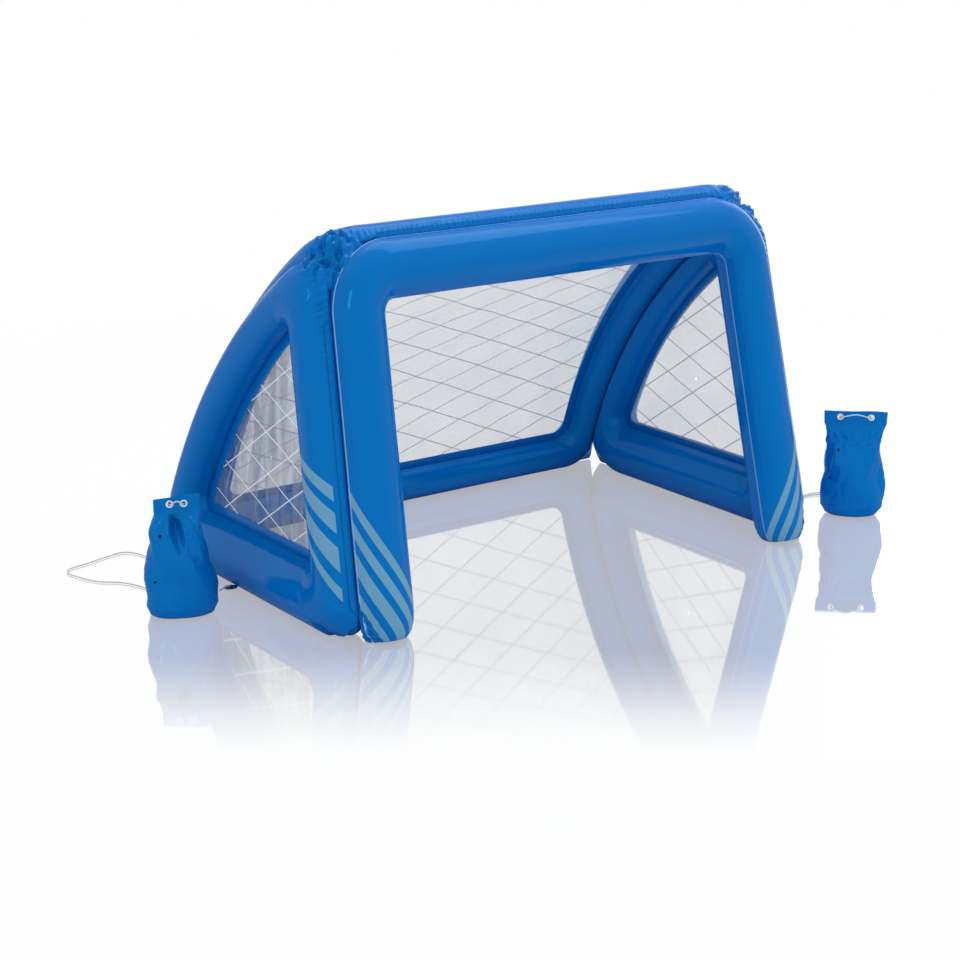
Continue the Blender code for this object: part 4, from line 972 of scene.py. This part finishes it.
net = np.stack([
    (q[..., 1] - NET_SLOPE * q[..., 0] - 0.3325) / NET_PITCH,
    (q[..., 1] + NET_SLOPE * q[..., 0] - 0.4700) / NET_PITCH,
], -1)
height = -FILM_HEIGHT - np.where(edge < 0.02, abs(bulge), bulge) - 0.0016 * lap
mesh = surface("back_window_sheet", back_place(q, height), uv=net)
piece(mesh, "goal", film_back, "clear_vinyl", "back_window_film")

# %% [markdown]
# ## Seam fins
#
# Outside each seam the welded edges of two panels stand up as a narrow fin. The film beside a
# weld shrinks as it cools, so the fin's free edge is longer than its foot and ruffles. The fins
# of the mouth lie back on the side tubes and on the back tube, where the packing pressed them.

# %% Ruffled fins
FIN_ROUND = 0.130            # twice the radius of the tubes that the fins lie on


def fin(name, seam, away, width, ruffle, spacing, seed, node):
    """A strip that leans on a tube from its seam: its free edge lifts off in waves.

    It follows the tube's round skin: it sinks by the square of its reach over twice a radius.
    """
    t = np.linspace(0, 1, 480)
    at = np.linspace(0, 1, len(seam))
    foot = np.stack([np.interp(t, at, seam[:, k]) for k in range(3)], -1)
    rise = unit(np.stack([np.interp(t, at, away[:, k]) for k in range(3)], -1))
    beside_it = unit(np.cross(np.gradient(foot, axis=0), rise))
    long = np.linalg.norm(np.diff(foot, axis=0), axis=1).sum()
    wave = np.sin(2 * pi * long / spacing * t + 2.4 * drift(t, (5, 13, 23), seed))
    wave = wave * (0.6 + 0.4 * drift(t, (7, 17, 31), seed + 1))
    out = np.linspace(0, 1, 8)
    end = long * np.minimum(t, 1 - t)
    reach = out * width * (1 - 0.9 * np.exp(-(end / 0.012) ** 2))[:, None]
    lift = ruffle * (1 + wave[:, None]) * out ** 1.5 - np.sign(ruffle) * reach ** 2 / FIN_ROUND
    grid = foot[:, None] + rise[:, None] * (reach + 0.0006)[..., None]
    grid = grid + beside_it[:, None] * lift[..., None]
    piece(surface(name, grid, outward=False), "goal", blue, "blue_vinyl", node, thickness=0.0010)


ahead = np.array([0, -cos(LEAN), sin(LEAN)])
up = np.linspace(0.065 / cos(LEAN) - 0.005, TALL - 0.148, 30)
down = np.linspace(0.115, BACK_LONG - 0.135, 40)


def back_outward(q):
    """Unit normals out of the curved back: the step from just inside it to it."""
    return unit(back_place(q, np.full(len(q), -0.001)) - back_place(q, np.zeros(len(q))))


for side, word in BOTH_SIDES:
    beside_seam = np.array([side, 0, 0])
    q = np.stack([np.full(len(up), side * SEAM_X), up], -1)
    away = np.tile(0.04 * ahead + beside_seam, (len(up), 1))
    fin(f"{word}_front_fin", front_place(q, np.zeros(len(q))), away, 0.017, -side * 0.0008, 0.015,
        61 + side, f"{word}_front_seam")
    q = np.stack([np.full(len(down), side * SEAM_X), down], -1)
    fin(f"{word}_back_fin", back_place(q, np.zeros(len(q))), back_outward(q) + beside_seam, 0.009,
        0.0010, 0.017, 65 + side, f"{word}_back_seam")
q = np.stack([np.linspace(-0.512, 0.512, 40), np.zeros(40)], -1)
fin("top_fin", back_place(q, np.zeros(len(q))), back_outward(q) + 0.10 * ahead, 0.015, 0.0018,
    0.013, 68, "top_seam")

# %% [markdown]
# ## Corner webs
#
# The two panels of a rear corner are cut square, but their chambers turn in round corners. The
# film left over outside the round is flat and single, and hangs from the seam down to the floor.
# Seen through the mouth it closes most of the gap between the two floor tubes. Each web is a grid
# from the round weld, hidden a little inside the tube, out to the panel's edge. Its tip is cut
# round, which leaves a small notch between the two webs of a corner, at the floor.

# %% Flat film outside the rear corners
WEB_START = 0.90             # where a web starts inside the tube, in radii of its round corner
WEB_TIP = 1.37               # how far its tip reaches, in the same radii
WEB_EARLY = 0.25             # radians that it starts before the corner does
WEB_LEAD = 0.035             # the same along the back's curve, in radians of that curve
WEB_UP = 0.150               # how far up the back's seam it starts


def web(name, centre, radius, start, end, square, place, seed):
    """The film between a round corner and its square: square holds the edge's points in order.

    Each row runs straight from the round out to the edge, and a slow drift bends the rows.
    """
    t = np.linspace(0, 1, len(square))
    angle = start + (end - start) * t
    round_edge = radius * np.stack([np.cos(angle), np.sin(angle)], -1) * WEB_START + centre
    away = square - centre
    square = centre + away * np.minimum(1, radius * WEB_TIP / np.hypot(*away.T))[:, None]
    out = np.linspace(0, 1, 12)
    q = round_edge[:, None] + (square - round_edge)[:, None] * out[:, None]
    wave = 0.0022 * drift(t, (1, 2, 3), seed)[:, None] * np.sin(pi * out)
    grid = place(q, wave)
    grid[..., 2] = np.maximum(grid[..., 2], 0.0012)
    piece(surface(name, grid, outward=False), "goal", blue, "blue_vinyl", thickness=0.0008)


rear = rear_centre(CROWN, FLOOR_LINE, REAR_CORNER)
rear_turn = atan2(*(rear - CROWN_AT)[::-1])
last_turn = -asin((CROWN_AT[1] - FLOOR_LINE) / CROWN)
crown_turns = np.linspace(rear_turn + WEB_LEAD, last_turn, 16)
edge = CROWN_AT + CROWN * np.stack([np.cos(crown_turns), np.sin(crown_turns)], -1)
along_floor = np.linspace(edge[-1], (rear[0], FLOOR_LINE), 17)[1:]
side_square = np.vstack([edge, along_floor])
for side, word in BOTH_SIDES:
    web(f"{word}_side_corner_web", rear, REAR_CORNER, rear_turn + WEB_EARLY, -pi / 2, side_square,
        side_place(side), 71 + side)
    seam = side * SEAM_X
    inner = side * (SEAM_X - BACK_CORNER)
    down_seam = np.linspace((seam, BACK_FLOOR - WEB_UP), (seam, BACK_FLOOR), 16)
    along_floor = np.linspace((seam, BACK_FLOOR), (inner, BACK_FLOOR), 17)[1:]
    web(f"{word}_back_corner_web", np.array([inner, BACK_FLOOR - BACK_CORNER]), BACK_CORNER,
        pi / 2 - side * (pi / 2 + WEB_EARLY), pi / 2, np.vstack([down_seam, along_floor]),
        back_place, 75 + side)

# %% [markdown]
# ## Crumpled corner sheets
#
# At the two top corners the round ends of three chambers leave a hollow, and a loose sheet of
# film is welded over it. With nothing to hold it out, the sheet crumples into small flat facets
# with sharp creases. It is laid over the tubes like a cloth: a height field over the corner
# starts on the highest skin below each point, and is then relaxed until it hangs between them.

# %% Laying a sheet over the skins
CELL = 0.003
SHEET_R = 0.088
UNSEEN = -0.30               # the height of a cell that no skin lies under
RELAX_ROUNDS = 900
SAG = 0.00012                # metres that a free cell sinks in each round
SOFTEN_ROUNDS = 6


def refine(skin, near, times):
    """The rows of a skin that lie near a point, with extra points in straight lines between."""
    rows = np.linalg.norm(skin - near, axis=-1).min(1) < 2 * SHEET_R
    pairs = rows & np.roll(rows, -1)
    share = (np.arange(times) / times)[:, None]
    down = share[..., None, None]
    between = skin[pairs] * (1 - down) + np.roll(skin, -1, 0)[pairs] * down
    between = between[..., None, :] * (1 - share) + np.roll(between, -1, 2)[..., None, :] * share
    return between.reshape(-1, 3)


def neighbours(level):
    """The mean of each cell's four neighbours. Beyond the edge its own values go on."""
    pad = np.pad(level, 1, "edge")
    return (pad[:-2, 1:-1] + pad[2:, 1:-1] + pad[1:-1, :-2] + pad[1:-1, 2:]) / 4


def drape(cloud):
    """A height field over points (across, up, out) that hangs between the highest of them.

    Points are sorted into square cells and each cell keeps its highest. Then every cell
    repeatedly becomes the mean of its four neighbours less a little sag, but never drops below
    its own skin. A few last rounds without that limit round off the creases.
    """
    half = int(SHEET_R * 1.3 / CELL) + 2
    cell = np.rint(cloud[:, :2] / CELL).astype(int) + half
    inside = ((cell >= 0) & (cell <= 2 * half)).all(1)
    low = np.full((2 * half + 1, 2 * half + 1), UNSEEN)
    np.maximum.at(low, tuple(cell[inside].T), cloud[inside, 2])
    high = np.where(low > UNSEEN, low, low.max())
    for _ in range(RELAX_ROUNDS):
        high = np.maximum(low, neighbours(high) - SAG)
    for _ in range(SOFTEN_ROUNDS):
        high = neighbours(high)
    return high, half


def corner_sheet(side, word, skins):
    """A round sheet of rings and rays over the corner, crumpled except at its welded edge.

    The edge dips under the tubes' skins, so its outline is drawn by its own folds.
    """
    corner = np.array([side * (SEAM_X - SPLAY * TOP_HEIGHT), TOP[0] - MIDDLE, TOP[1]])
    back = np.array([0, cos(CROWN_FIRST), sin(CROWN_FIRST)])
    out = unit(ahead + back + np.array([side, 0, SPLAY]))
    across = unit(np.cross(out, (0.0, 0.0, 1.0)))
    rise = np.cross(across, out)
    cloud = np.vstack([refine(skin, corner, 3) for skin in skins]) - corner
    high, half = drape(cloud @ np.stack([across, rise, out], 1))
    turn = full_turn(220)
    ring = np.linspace(0.02, 1, 64)[:, None]
    edge = SHEET_R * (0.98 + 0.05 * drift(turn / (2 * pi), (3, 5, 8), 71 + side))
    for direction, less in ((ahead, 0.46), (np.array([side, 0, SPLAY]), 0.08)):
        facing = atan2(direction @ rise, direction @ across)
        edge = edge * (1 - less * np.clip(np.cos(turn - facing), 0, 1))
    a, b = ring * edge * np.cos(turn), ring * edge * np.sin(turn)
    x, y = a / CELL + half, b / CELL + half
    i, j = np.floor(x).astype(int), np.floor(y).astype(int)
    u, v = x - i, y - j
    level = (high[i, j] * (1 - u) * (1 - v) + high[i + 1, j] * u * (1 - v)
             + high[i, j + 1] * (1 - u) * v + high[i + 1, j + 1] * u * v)
    folds = 0.72 * crumple(a, b, 0.034, 4, 73 + side) + 0.28 * crumple(a, b, 0.014, 3, 83 + side)
    level = level - 0.0110 + 0.0420 * folds * (1 - 0.8 * ring ** 4) - 0.0050 * ring ** 6
    grid = corner + a[..., None] * across + b[..., None] * rise + level[..., None] * out
    return surface(f"{word}_corner_sheet", grid, (False, True), outward=False)


for side, word in BOTH_SIDES:
    mesh = corner_sheet(side, word, (front_skin, side_skins[word], back_skin))
    piece(mesh, "goal", blue, "blue_vinyl", f"{word}_corner_gusset", thickness=0.0005)

# %% [markdown]
# ## The anchor bags
#
# Each bag is a sleeve of the same blue film, welded flat across its mouth, and filled with
# sand or water. A full bag stands on a round base and narrows to its flat top, with soft dents
# where the film has nothing to carry. The left bag's mouth is drawn together by its rope, which
# leaves one deep fold below the eyelets. Two small holes at one side let water drain. The bags
# are closed lofts of soft squares: at each height a width, a depth and a squareness, all read
# off a few heights and joined smoothly.

# %% A bag's loft
BAG_WIDTH = 0.156
BAG_HEIGHT = 0.265
BAG_DEPTH = 0.112
MOUTH = 0.233                # height where the flat welded mouth starts
MOUTH_THICK = 0.005
EYELET_AT = BAG_HEIGHT - 0.014
EYELET_HOLE = 0.0062         # radii of the holes in the film
DRAIN_HOLE = 0.0032
BAGS = {
    "left": {"at": (-0.853, -0.0131, 0.0), "turn": -24, "eyelets": 0.030,
             "drains": ((-0.039, 0.186), (-0.055, 0.086))},
    "right": {"at": (0.8575, -0.3571, 0.0), "turn": -43, "eyelets": 0.076,
              "drains": ((-0.058, 0.100), (-0.040, 0.172))},
}
# height, width share, depth share, squareness, shift of the middle in metres
BAG_SHAPES = {
    "left": (
        (0.000, 0.78, 0.64, 2.3, 0.002), (0.006, 0.93, 0.84, 2.4, 0.003),
        (0.024, 1.05, 0.95, 2.6, 0.004), (0.060, 1.07, 1.00, 2.5, 0.004),
        (0.105, 1.00, 0.97, 2.4, 0.001), (0.150, 0.92, 0.84, 2.5, -0.003),
        (0.190, 0.84, 0.62, 2.8, -0.006), (0.215, 0.72, 0.36, 3.6, -0.003),
        (MOUTH, 0.64, MOUTH_THICK / BAG_DEPTH, 8.0, 0.000),
        (BAG_HEIGHT, 0.64, MOUTH_THICK / BAG_DEPTH, 8.0, 0.000),
    ),
    "right": (
        (0.000, 0.72, 0.60, 2.1, 0.000), (0.006, 0.87, 0.82, 2.2, 0.000),
        (0.024, 1.05, 0.95, 2.4, 0.001), (0.056, 1.11, 1.00, 2.4, 0.002),
        (0.088, 1.06, 1.00, 2.4, 0.000), (0.125, 1.01, 0.90, 2.4, -0.001),
        (0.165, 0.98, 0.72, 2.6, 0.000), (0.195, 0.94, 0.50, 3.0, 0.000),
        (0.216, 0.94, 0.28, 3.8, 0.000), (MOUTH, 0.98, MOUTH_THICK / BAG_DEPTH, 8.0, 0.000),
        (BAG_HEIGHT, 1.00, MOUTH_THICK / BAG_DEPTH, 8.0, 0.000),
    ),
}


def bag_frame(word):
    """A bag's origin and its three directions: along its width, to its back, and up."""
    turn = radians(BAGS[word]["turn"])
    return np.array(BAGS[word]["at"]), np.array([
        [cos(turn), sin(turn), 0], [-sin(turn), cos(turn), 0], [0, 0, 1]])


def bag_point(word, at, up):
    """A point of a bag's middle plane, some way along its width and up, in the model's frame."""
    origin, axes = bag_frame(word)
    return origin + np.array([at, 0, up]) @ axes


def bag_skin(word, seed):
    """Rings of soft squares, with dents, folds and, on the left bag, one deep pinched fold."""
    z = np.concatenate([
        np.linspace(0, 0.03, 16)[:-1], np.linspace(0.03, MOUTH, 136)[:-1],
        np.linspace(MOUTH, BAG_HEIGHT, 24)])
    keys = np.array(BAG_SHAPES[word])
    values = [np.interp(z, keys[:, 0], keys[:, k]) for k in range(1, 5)]
    body = (z > 0.03) & (z < MOUTH - 0.006)
    values = [np.where(body, soften(value, 15, False), value)[:, None] for value in values]
    wide, deep, power, shift = values
    turn = 2 * pi * (np.arange(200) + 0.5) / 200
    c, s = np.cos(turn), np.sin(turn)
    x = BAG_WIDTH / 2 * wide * np.sign(c) * abs(c) ** (2 / power)
    y = BAG_DEPTH / 2 * deep * np.sign(s) * abs(s) ** (2 / power)
    loose = (np.sin(pi * np.clip(z / MOUTH, 0, 1)) ** 0.6)[:, None]
    side_wave = 0.0024 * drift(z / 0.40, (2, 4, 7), seed)[:, None] * abs(c) ** 2 * np.sign(c)
    x = x + shift + loose * side_wave
    sheet = turn / (2 * pi) * 0.46 - 0.23 + 0 * z[:, None], z[:, None] - 0.13 + 0 * turn
    folds = crumple(*sheet, 0.080, 3, seed + 1)
    fine = crumple(*sheet, 0.022, 3, seed + 2)
    neck = np.exp(-((z - 0.200) / 0.034) ** 2)[:, None]
    dent = loose * (0.0170 * folds + (0.0010 + 0.0060 * neck) * fine)
    dent = np.where(z[:, None] < MOUTH, dent, 0)
    size = np.hypot(x, y) + 1e-9
    x, y = x * (1 - dent / size), y - dent * np.sign(s) * abs(s) ** 0.7
    if word == "left":
        rise = np.clip((z[:, None] - 0.140) / (MOUTH - 0.140), 0, 1)
        girth = 0.0030 + 0.0080 * np.sin(pi * (1 - rise) ** 0.9) ** 0.8
        across = (x + 0.009 * rise - 0.005 * (1 - rise)) / girth
        pinch = np.exp(-abs(across) ** 2.4) * (s < 0)
        y = y + 0.030 * pinch * np.sin(pi * rise ** 1.8) ** 0.7
        y = y - 0.0024 * np.exp(-((abs(across) - 1.5) / 0.35) ** 2) * (s < 0) * np.sin(pi * rise)
    half = BAGS[word]["eyelets"] / 2
    for hub in (-half, half):
        dx, dz = x - hub, z[:, None] - EYELET_AT + 0.010
        away = np.hypot(dx, dz)
        ray = (0.5 + 0.5 * np.cos(13 * np.arctan2(dz, dx) + seed + 40 * hub)) ** 2.2
        pull = np.exp(-((away - 0.045) / 0.020) ** 2) * (z[:, None] < MOUTH) * loose
        y = y + np.where(s < 0, 1, -1) * 0.0042 * ray * pull
    origin, axes = bag_frame(word)
    in_mouth = np.clip((z[:, None] - EYELET_AT) / (BAG_HEIGHT - EYELET_AT), 0, 1)
    if word == "left":
        ear = np.interp(x, (-0.05, -0.02, 0.004, 0.012, 0.020, 0.05),
                        (-0.003, -0.004, -0.007, -0.004, 0.008, 0.006))
    else:
        ear = 0.0012 * np.sin(x / 0.024)
    local = np.stack([x, y, z[:, None] + ear * in_mouth], -1)
    local[..., 2] = np.maximum(local[..., 2], 0.0004)
    grid = origin + local @ axes
    holes = [(bag_point(word, hub, EYELET_AT), axes[1], EYELET_HOLE) for hub in (-half, half)]
    holes += [(bag_point(word, at, up), axes[1], DRAIN_HOLE) for at, up in BAGS[word]["drains"]]
    return surface(f"{word}_bag_skin", grid, (False, True), end_middles(grid), holes=holes)


for word, seed in (("left", 101), ("right", 121)):
    piece(bag_skin(word, seed), f"{word}_weight", blue, "blue_vinyl", f"{word}_anchor_bag")

# %% [markdown]
# ## Turned fittings
#
# The eyelets, the tie rings and the valves are moulded round, so each is one profile turned
# about its axis. Real mouldings have no sharp edges: each corner of the profile is cut twice,
# which leaves a small rounding that catches the light.

# %% Turning a profile
def rounded(profile, share=0.25, rounds=2):
    """A closed profile with its corners cut: each edge keeps its middle part, rounds times."""
    line = np.asarray(profile, float)
    for _ in range(rounds):
        after = np.roll(line, -1, 0)
        line = np.stack([line + (after - line) * share, after + (line - after) * share], 1)
        line = line.reshape(-1, 2)
    return line


def turned(name, profile, point, axes, round_steps=48):
    """A closed profile of (radius, height) points turned about the third axis at a point."""
    line = rounded(profile)
    turn = full_turn(round_steps)
    local = np.stack([
        line[:, :1] * np.cos(turn), line[:, :1] * np.sin(turn), line[:, 1:] + 0 * turn], -1)
    return surface(name, np.asarray(point) + local @ np.asarray(axes), (True, True))


def axes_along(axis):
    """Three directions with the third along an axis and the second as near to up as it can be."""
    z = unit(np.asarray(axis, float))
    x = unit(np.cross((0.0, 0.0, 1.0), z))
    return np.stack([x, np.cross(z, x), z])


# %% Bag eyelets
for word in ("left", "right"):
    axes = bag_frame(word)[1]
    seat = MOUTH_THICK / 2 + SEAT_GAP
    lip = seat + 0.0012
    for number, sign in ((1, -1), (2, 1)):
        point = bag_point(word, sign * BAGS[word]["eyelets"] / 2, EYELET_AT)
        profile = [(0.0043, lip), (0.0083, lip), (0.0083, seat), (0.0054, seat), (0.0054, -seat),
                   (0.0083, -seat), (0.0083, -lip), (0.0043, -lip)]
        mesh = turned(f"{word}_eyelet_{number}", profile, point, axes_along(-axes[1]))
        piece(mesh, f"{word}_weight", white_moulding, "white_plastic",
              f"{word}_bag_eyelet_{number}")

# %% Valves: a welded base on the wall and a plug on its strap
LID_LOW = SEAT_GAP + 0.0012 + 0.0030 + SEAT_GAP     # over the base's flange and its neck


def wall(place, middle, radius, run):
    """A point of a tube's wall and the axes of a fitting that stands square on it."""
    middle, radius, run = (np.array(v, float) for v in (middle, radius, run))
    centre, point, forward, backward = (
        place(p[None, :2], p[None, 2])[0]
        for p in (middle, middle + radius, middle + radius + 0.001 * run,
                  middle + radius - 0.001 * run))
    along = unit(forward - backward)
    out = point - centre
    return point, axes_along(out - along * (out @ along))


def valve(name, point, axes):
    """The two pieces of a valve, at a point of the wall."""
    base = [(0.0036, 0.0045), (0.0050, 0.0045), (0.0050, 0.0017), (0.0088, 0.0013),
            (0.0090, 0.0003), (0.0050, 0.0003), (0.0050, -0.0120), (0.0036, -0.0120)]
    piece(turned(f"{name}_seat", base, point, axes), "goal", white_moulding, "white_plastic",
          f"{name}_base")
    plug = [(0.0, 0.0012), (0.0018, 0.0016), (0.0052, 0.0016), (0.0058, 0.0010), (0.0058, 0.0),
            (0.0031, 0.0), (0.0029, -0.0030), (0.0, -0.0030)]
    home = point + np.array([0, 0, LID_LOW]) @ axes
    piece(turned(f"{name}_stopper", plug, home, axes), f"{name}_lid", white_moulding,
          "white_plastic", f"{name}_plug")
    along = np.linspace(0.0046, 0.0093, 12)
    section = rounded([(-0.0025, 0.0002), (0.0025, 0.0002), (0.0025, 0.0012), (-0.0025, 0.0012)])
    narrow = 1 - 0.3 * np.sin(pi * np.linspace(0, 1, 12))
    local = np.stack([
        section[None, :, 0] * narrow[:, None], along[:, None] + 0 * section[None, :, 0],
        section[None, :, 1] + 0 * along[:, None]], -1)
    grid = home + local @ axes
    strap = surface(f"{name}_strap", grid, (False, True), end_middles(grid))
    piece(strap, f"{name}_lid", white_moulding, "white_plastic")


valve("front_valve", *wall(front_place, (-SEAM_X + 0.064, 0.130, 0), (0.064, 0, 0), (0, 1, 0)))
for side, word in BOTH_SIDES:
    valve(f"{word}_side_valve",
          *wall(side_place(side), (0.430, 0.0625, 0), (0, 0, -side * 0.068), (1, 0, 0)))
valve("back_valve",
      *wall(back_place, (0.300, BACK_FLOOR - 0.046, 0), (0, 0, -0.046), (1, 0, 0)))

# %% Tie tabs, with their rings and tails
TAB_LONG = 0.032
TAB_HALF = 0.013
TAB_HOLE = 0.0040            # radius of the hole that the ring sits in
for side, word in BOTH_SIDES:
    low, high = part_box(f"{word}_tie_tab")
    start = max(low[0], high[0], key=lambda value: -abs(value))
    origin = np.array([start, (low[1] + high[1]) / 2, 0.0])
    axes = np.array([[side, 0, 0], [0, side, 0], [0, 0, 1.0]])
    turn = full_turn(96)
    ring_x = TAB_LONG - TAB_HALF
    hole = np.stack([ring_x + TAB_HOLE * np.cos(turn), TAB_HOLE * np.sin(turn)], -1)
    rim = np.stack([ring_x + TAB_HALF * np.cos(turn), TAB_HALF * np.sin(turn)], -1)
    stretch = np.clip((ring_x - rim[:, 0]) / TAB_HALF, 0, 1)
    rim[:, 0] = rim[:, 0] - stretch * (ring_x - TAB_HALF)
    rim[:, 1] = np.where(stretch > 0, np.sign(rim[:, 1]) * np.maximum(
        abs(rim[:, 1]), TAB_HALF * np.clip(1.9 * (1 - stretch) + 0.15, 0, 1)), rim[:, 1])
    flat = [(hole, low[2]), (rim, low[2]), (rim, high[2]), (hole, high[2])]
    local = np.stack([np.concatenate([line, np.full((len(turn), 1), z)], 1) for line, z in flat])
    piece(surface(f"{word}_tab", origin + local @ axes, (True, True)), "goal", blue, "blue_vinyl",
          f"{word}_tie_tab")
    under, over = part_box(f"{word}_tie_eyelet")
    centre = np.array([(under[0] + over[0]) / 2, (under[1] + over[1]) / 2, 0])
    profile = [(0.0028, over[2]), (0.0075, over[2]), (0.0075, high[2] + SEAT_GAP),
               (0.0037, high[2] + SEAT_GAP), (0.0037, low[2] - SEAT_GAP),
               (0.0075, low[2] - SEAT_GAP), (0.0075, under[2]), (0.0028, under[2])]
    ring = turned(f"{word}_tie_ring", profile, centre, axes)
    piece(ring, "goal", black_moulding, "black_plastic", f"{word}_tie_eyelet")
    top = over[2] + SEAT_GAP + 0.0004
    run = np.array([
        (ring_x - 0.0028, top), (TAB_LONG - 0.004, top), (TAB_LONG + 0.0008, top),
        (TAB_LONG + 0.0008 + top, (top + 0.0007) / 2), (TAB_LONG + 0.0008 + 2 * top, 0.0007),
        (TAB_LONG + 0.014, 0.0007)])
    at = np.linspace(0, len(run) - 1, 60)
    smooth = np.stack([np.interp(at, np.arange(len(run)), run[:, k]) for k in (0, 1)], -1)
    across = np.linspace(-0.0025, 0.0025, 8)
    local = np.stack([smooth[:, :1] + 0 * across, across + 0 * smooth[:, :1],
                      smooth[:, 1:] + 0 * across], -1)
    uv = np.stack(np.meshgrid(np.linspace(0, 1, 8), np.linspace(0, 12, 60)), -1)
    tail = surface(f"{word}_tail", origin + local @ axes, uv=uv, outward=False)
    piece(tail, "goal", tape, "grey_tape", f"{word}_tie_tail", thickness=0.0008)

# %% [markdown]
# ## The floor, the light and the end
#
# The goal stands on a pale glossy floor in a white studio, so it has a soft shadow and a faint
# mirror image that fades towards the viewer. The camera sees the floor nearly white, as in an
# overexposed studio, while the goal is lit by its matt colour. The sky is an even white to the
# camera, to mirrors and through the clear film, and only the light it sheds is stronger from
# one side. Soft boxes above and to the sides give long highlights on the tubes.

# %% Floor
floor_finish = bpy.data.materials.new("polished_white_floor")
floor_finish.use_nodes = True
tree = floor_finish.node_tree
tree.nodes.clear()
place = add(tree, "TexCoord", {}).outputs["Object"]
to_camera = add(tree, "LightPath", {}).outputs["Is Camera Ray"]
apart = add(tree, "VectorMath", {0: place}, operation="LENGTH")
far = add(tree, "MapRange", {"Value": apart, "From Min": 1.5, "From Max": 3.2},
          interpolation_type="SMOOTHSTEP")
matt = add(tree, "BsdfDiffuse", {"Color": linear("#EFF1F3")})
white = add(tree, "Emission", {"Color": linear("#FFFFFF"), "Strength": 1.0})
seen = add(tree, "MapRange", {"Value": far, "To Min": 0.92, "To Max": 1.0})
shown = add(tree, "Math", {0: seen, 1: to_camera}, operation="MULTIPLY")
base = add(tree, "MixShader", {"Fac": shown, 1: matt, 2: white})
mirror = add(tree, "BsdfGlossy", {"Color": linear("#FFFFFF"), "Roughness": 0.04})
forward = add(tree, "VectorMath", {0: place, 1: (-sin(VIEW_TURN), -cos(VIEW_TURN), 0)},
              operation="DOT_PRODUCT")
near = add(tree, "MapRange", {
    "Value": forward, "From Min": 0.70, "From Max": 1.30, "To Min": 0.55, "To Max": 0.0,
}, interpolation_type="SMOOTHSTEP")
edge = add(tree, "MapRange", {"Value": far, "To Min": 1.0, "To Max": 0.0})
polish = add(tree, "Math", {0: near, 1: edge}, operation="MULTIPLY")
polish = add(tree, "Math", {0: polish, 1: to_camera}, operation="MULTIPLY")
both = add(tree, "MixShader", {"Fac": polish, 1: base, 2: mirror})
add(tree, "OutputMaterial", {"Surface": both})

ring = np.array([[0.001], [1.2], [2.4], [4.0], [60.0]])
turn = full_turn(96)
flat = np.stack([ring * np.cos(turn), ring * np.sin(turn), 0 * ring + 0 * turn - 0.0006], -1)
floor_mesh = surface("studio_floor", flat, (False, True), outward=False)
floor_mesh.materials.append(floor_finish)
floor = bpy.data.objects.new("studio_floor", floor_mesh)
bpy.context.scene.collection.objects.link(floor)

# %% World and lamps
BRIGHT_SIDE = (0.22, -0.36, 0.91)      # the dome is brightest above and in front

world = bpy.data.worlds.new("white_studio")
bpy.context.scene.world = world
world.use_nodes = True
tree = world.node_tree
tree.nodes.clear()
rays = add(tree, "LightPath", {}).outputs
seen = add(tree, "Math", {0: rays["Is Camera Ray"], 1: rays["Is Glossy Ray"]},
           operation="MAXIMUM")
seen = add(tree, "Math", {0: seen, 1: rays["Is Transmission Ray"]}, operation="MAXIMUM")
heading = add(tree, "TexCoord", {}).outputs["Generated"]
towards = add(tree, "VectorMath", {0: heading, 1: BRIGHT_SIDE}, operation="DOT_PRODUCT")
dome = add(tree, "MapRange", {"Value": towards, "From Min": -1.0, "To Min": 0.29, "To Max": 0.97})
strength = add(tree, "Mix", {"Factor": seen, "A": dome, "B": 1.0})
sky = add(tree, "Background", {"Color": linear("#FFFFFF"), "Strength": strength})
add(tree, "OutputWorld", {"Surface": sky})


def soft_box(name, place, target, size, power):
    """A rectangular lamp at a place, turned to face a target."""
    lamp = bpy.data.lights.new(name, "AREA")
    lamp.shape = "RECTANGLE"
    lamp.size, lamp.size_y = size
    lamp.energy = power
    lamp.color = linear("#E4F4FF")[:3]
    obj = bpy.data.objects.new(name, lamp)
    obj.location = place
    obj.rotation_euler = (Vector(place) - Vector(target)).to_track_quat("Z", "Y").to_euler()
    bpy.context.scene.collection.objects.link(obj)


soft_box("overhead_box", (0.6, 0.3, 2.6), (0, 0, 0.3), (2.4, 1.5), 23)
soft_box("left_box", (-2.6, -1.2, 1.9), (0, 0, 0.4), (0.30, 1.0), 5)
soft_box("right_strip", (2.4, 0.6, 1.3), (0, 0, 0.4), (0.9, 1.8), 12)
bpy.context.scene.view_settings.view_transform = "Standard"
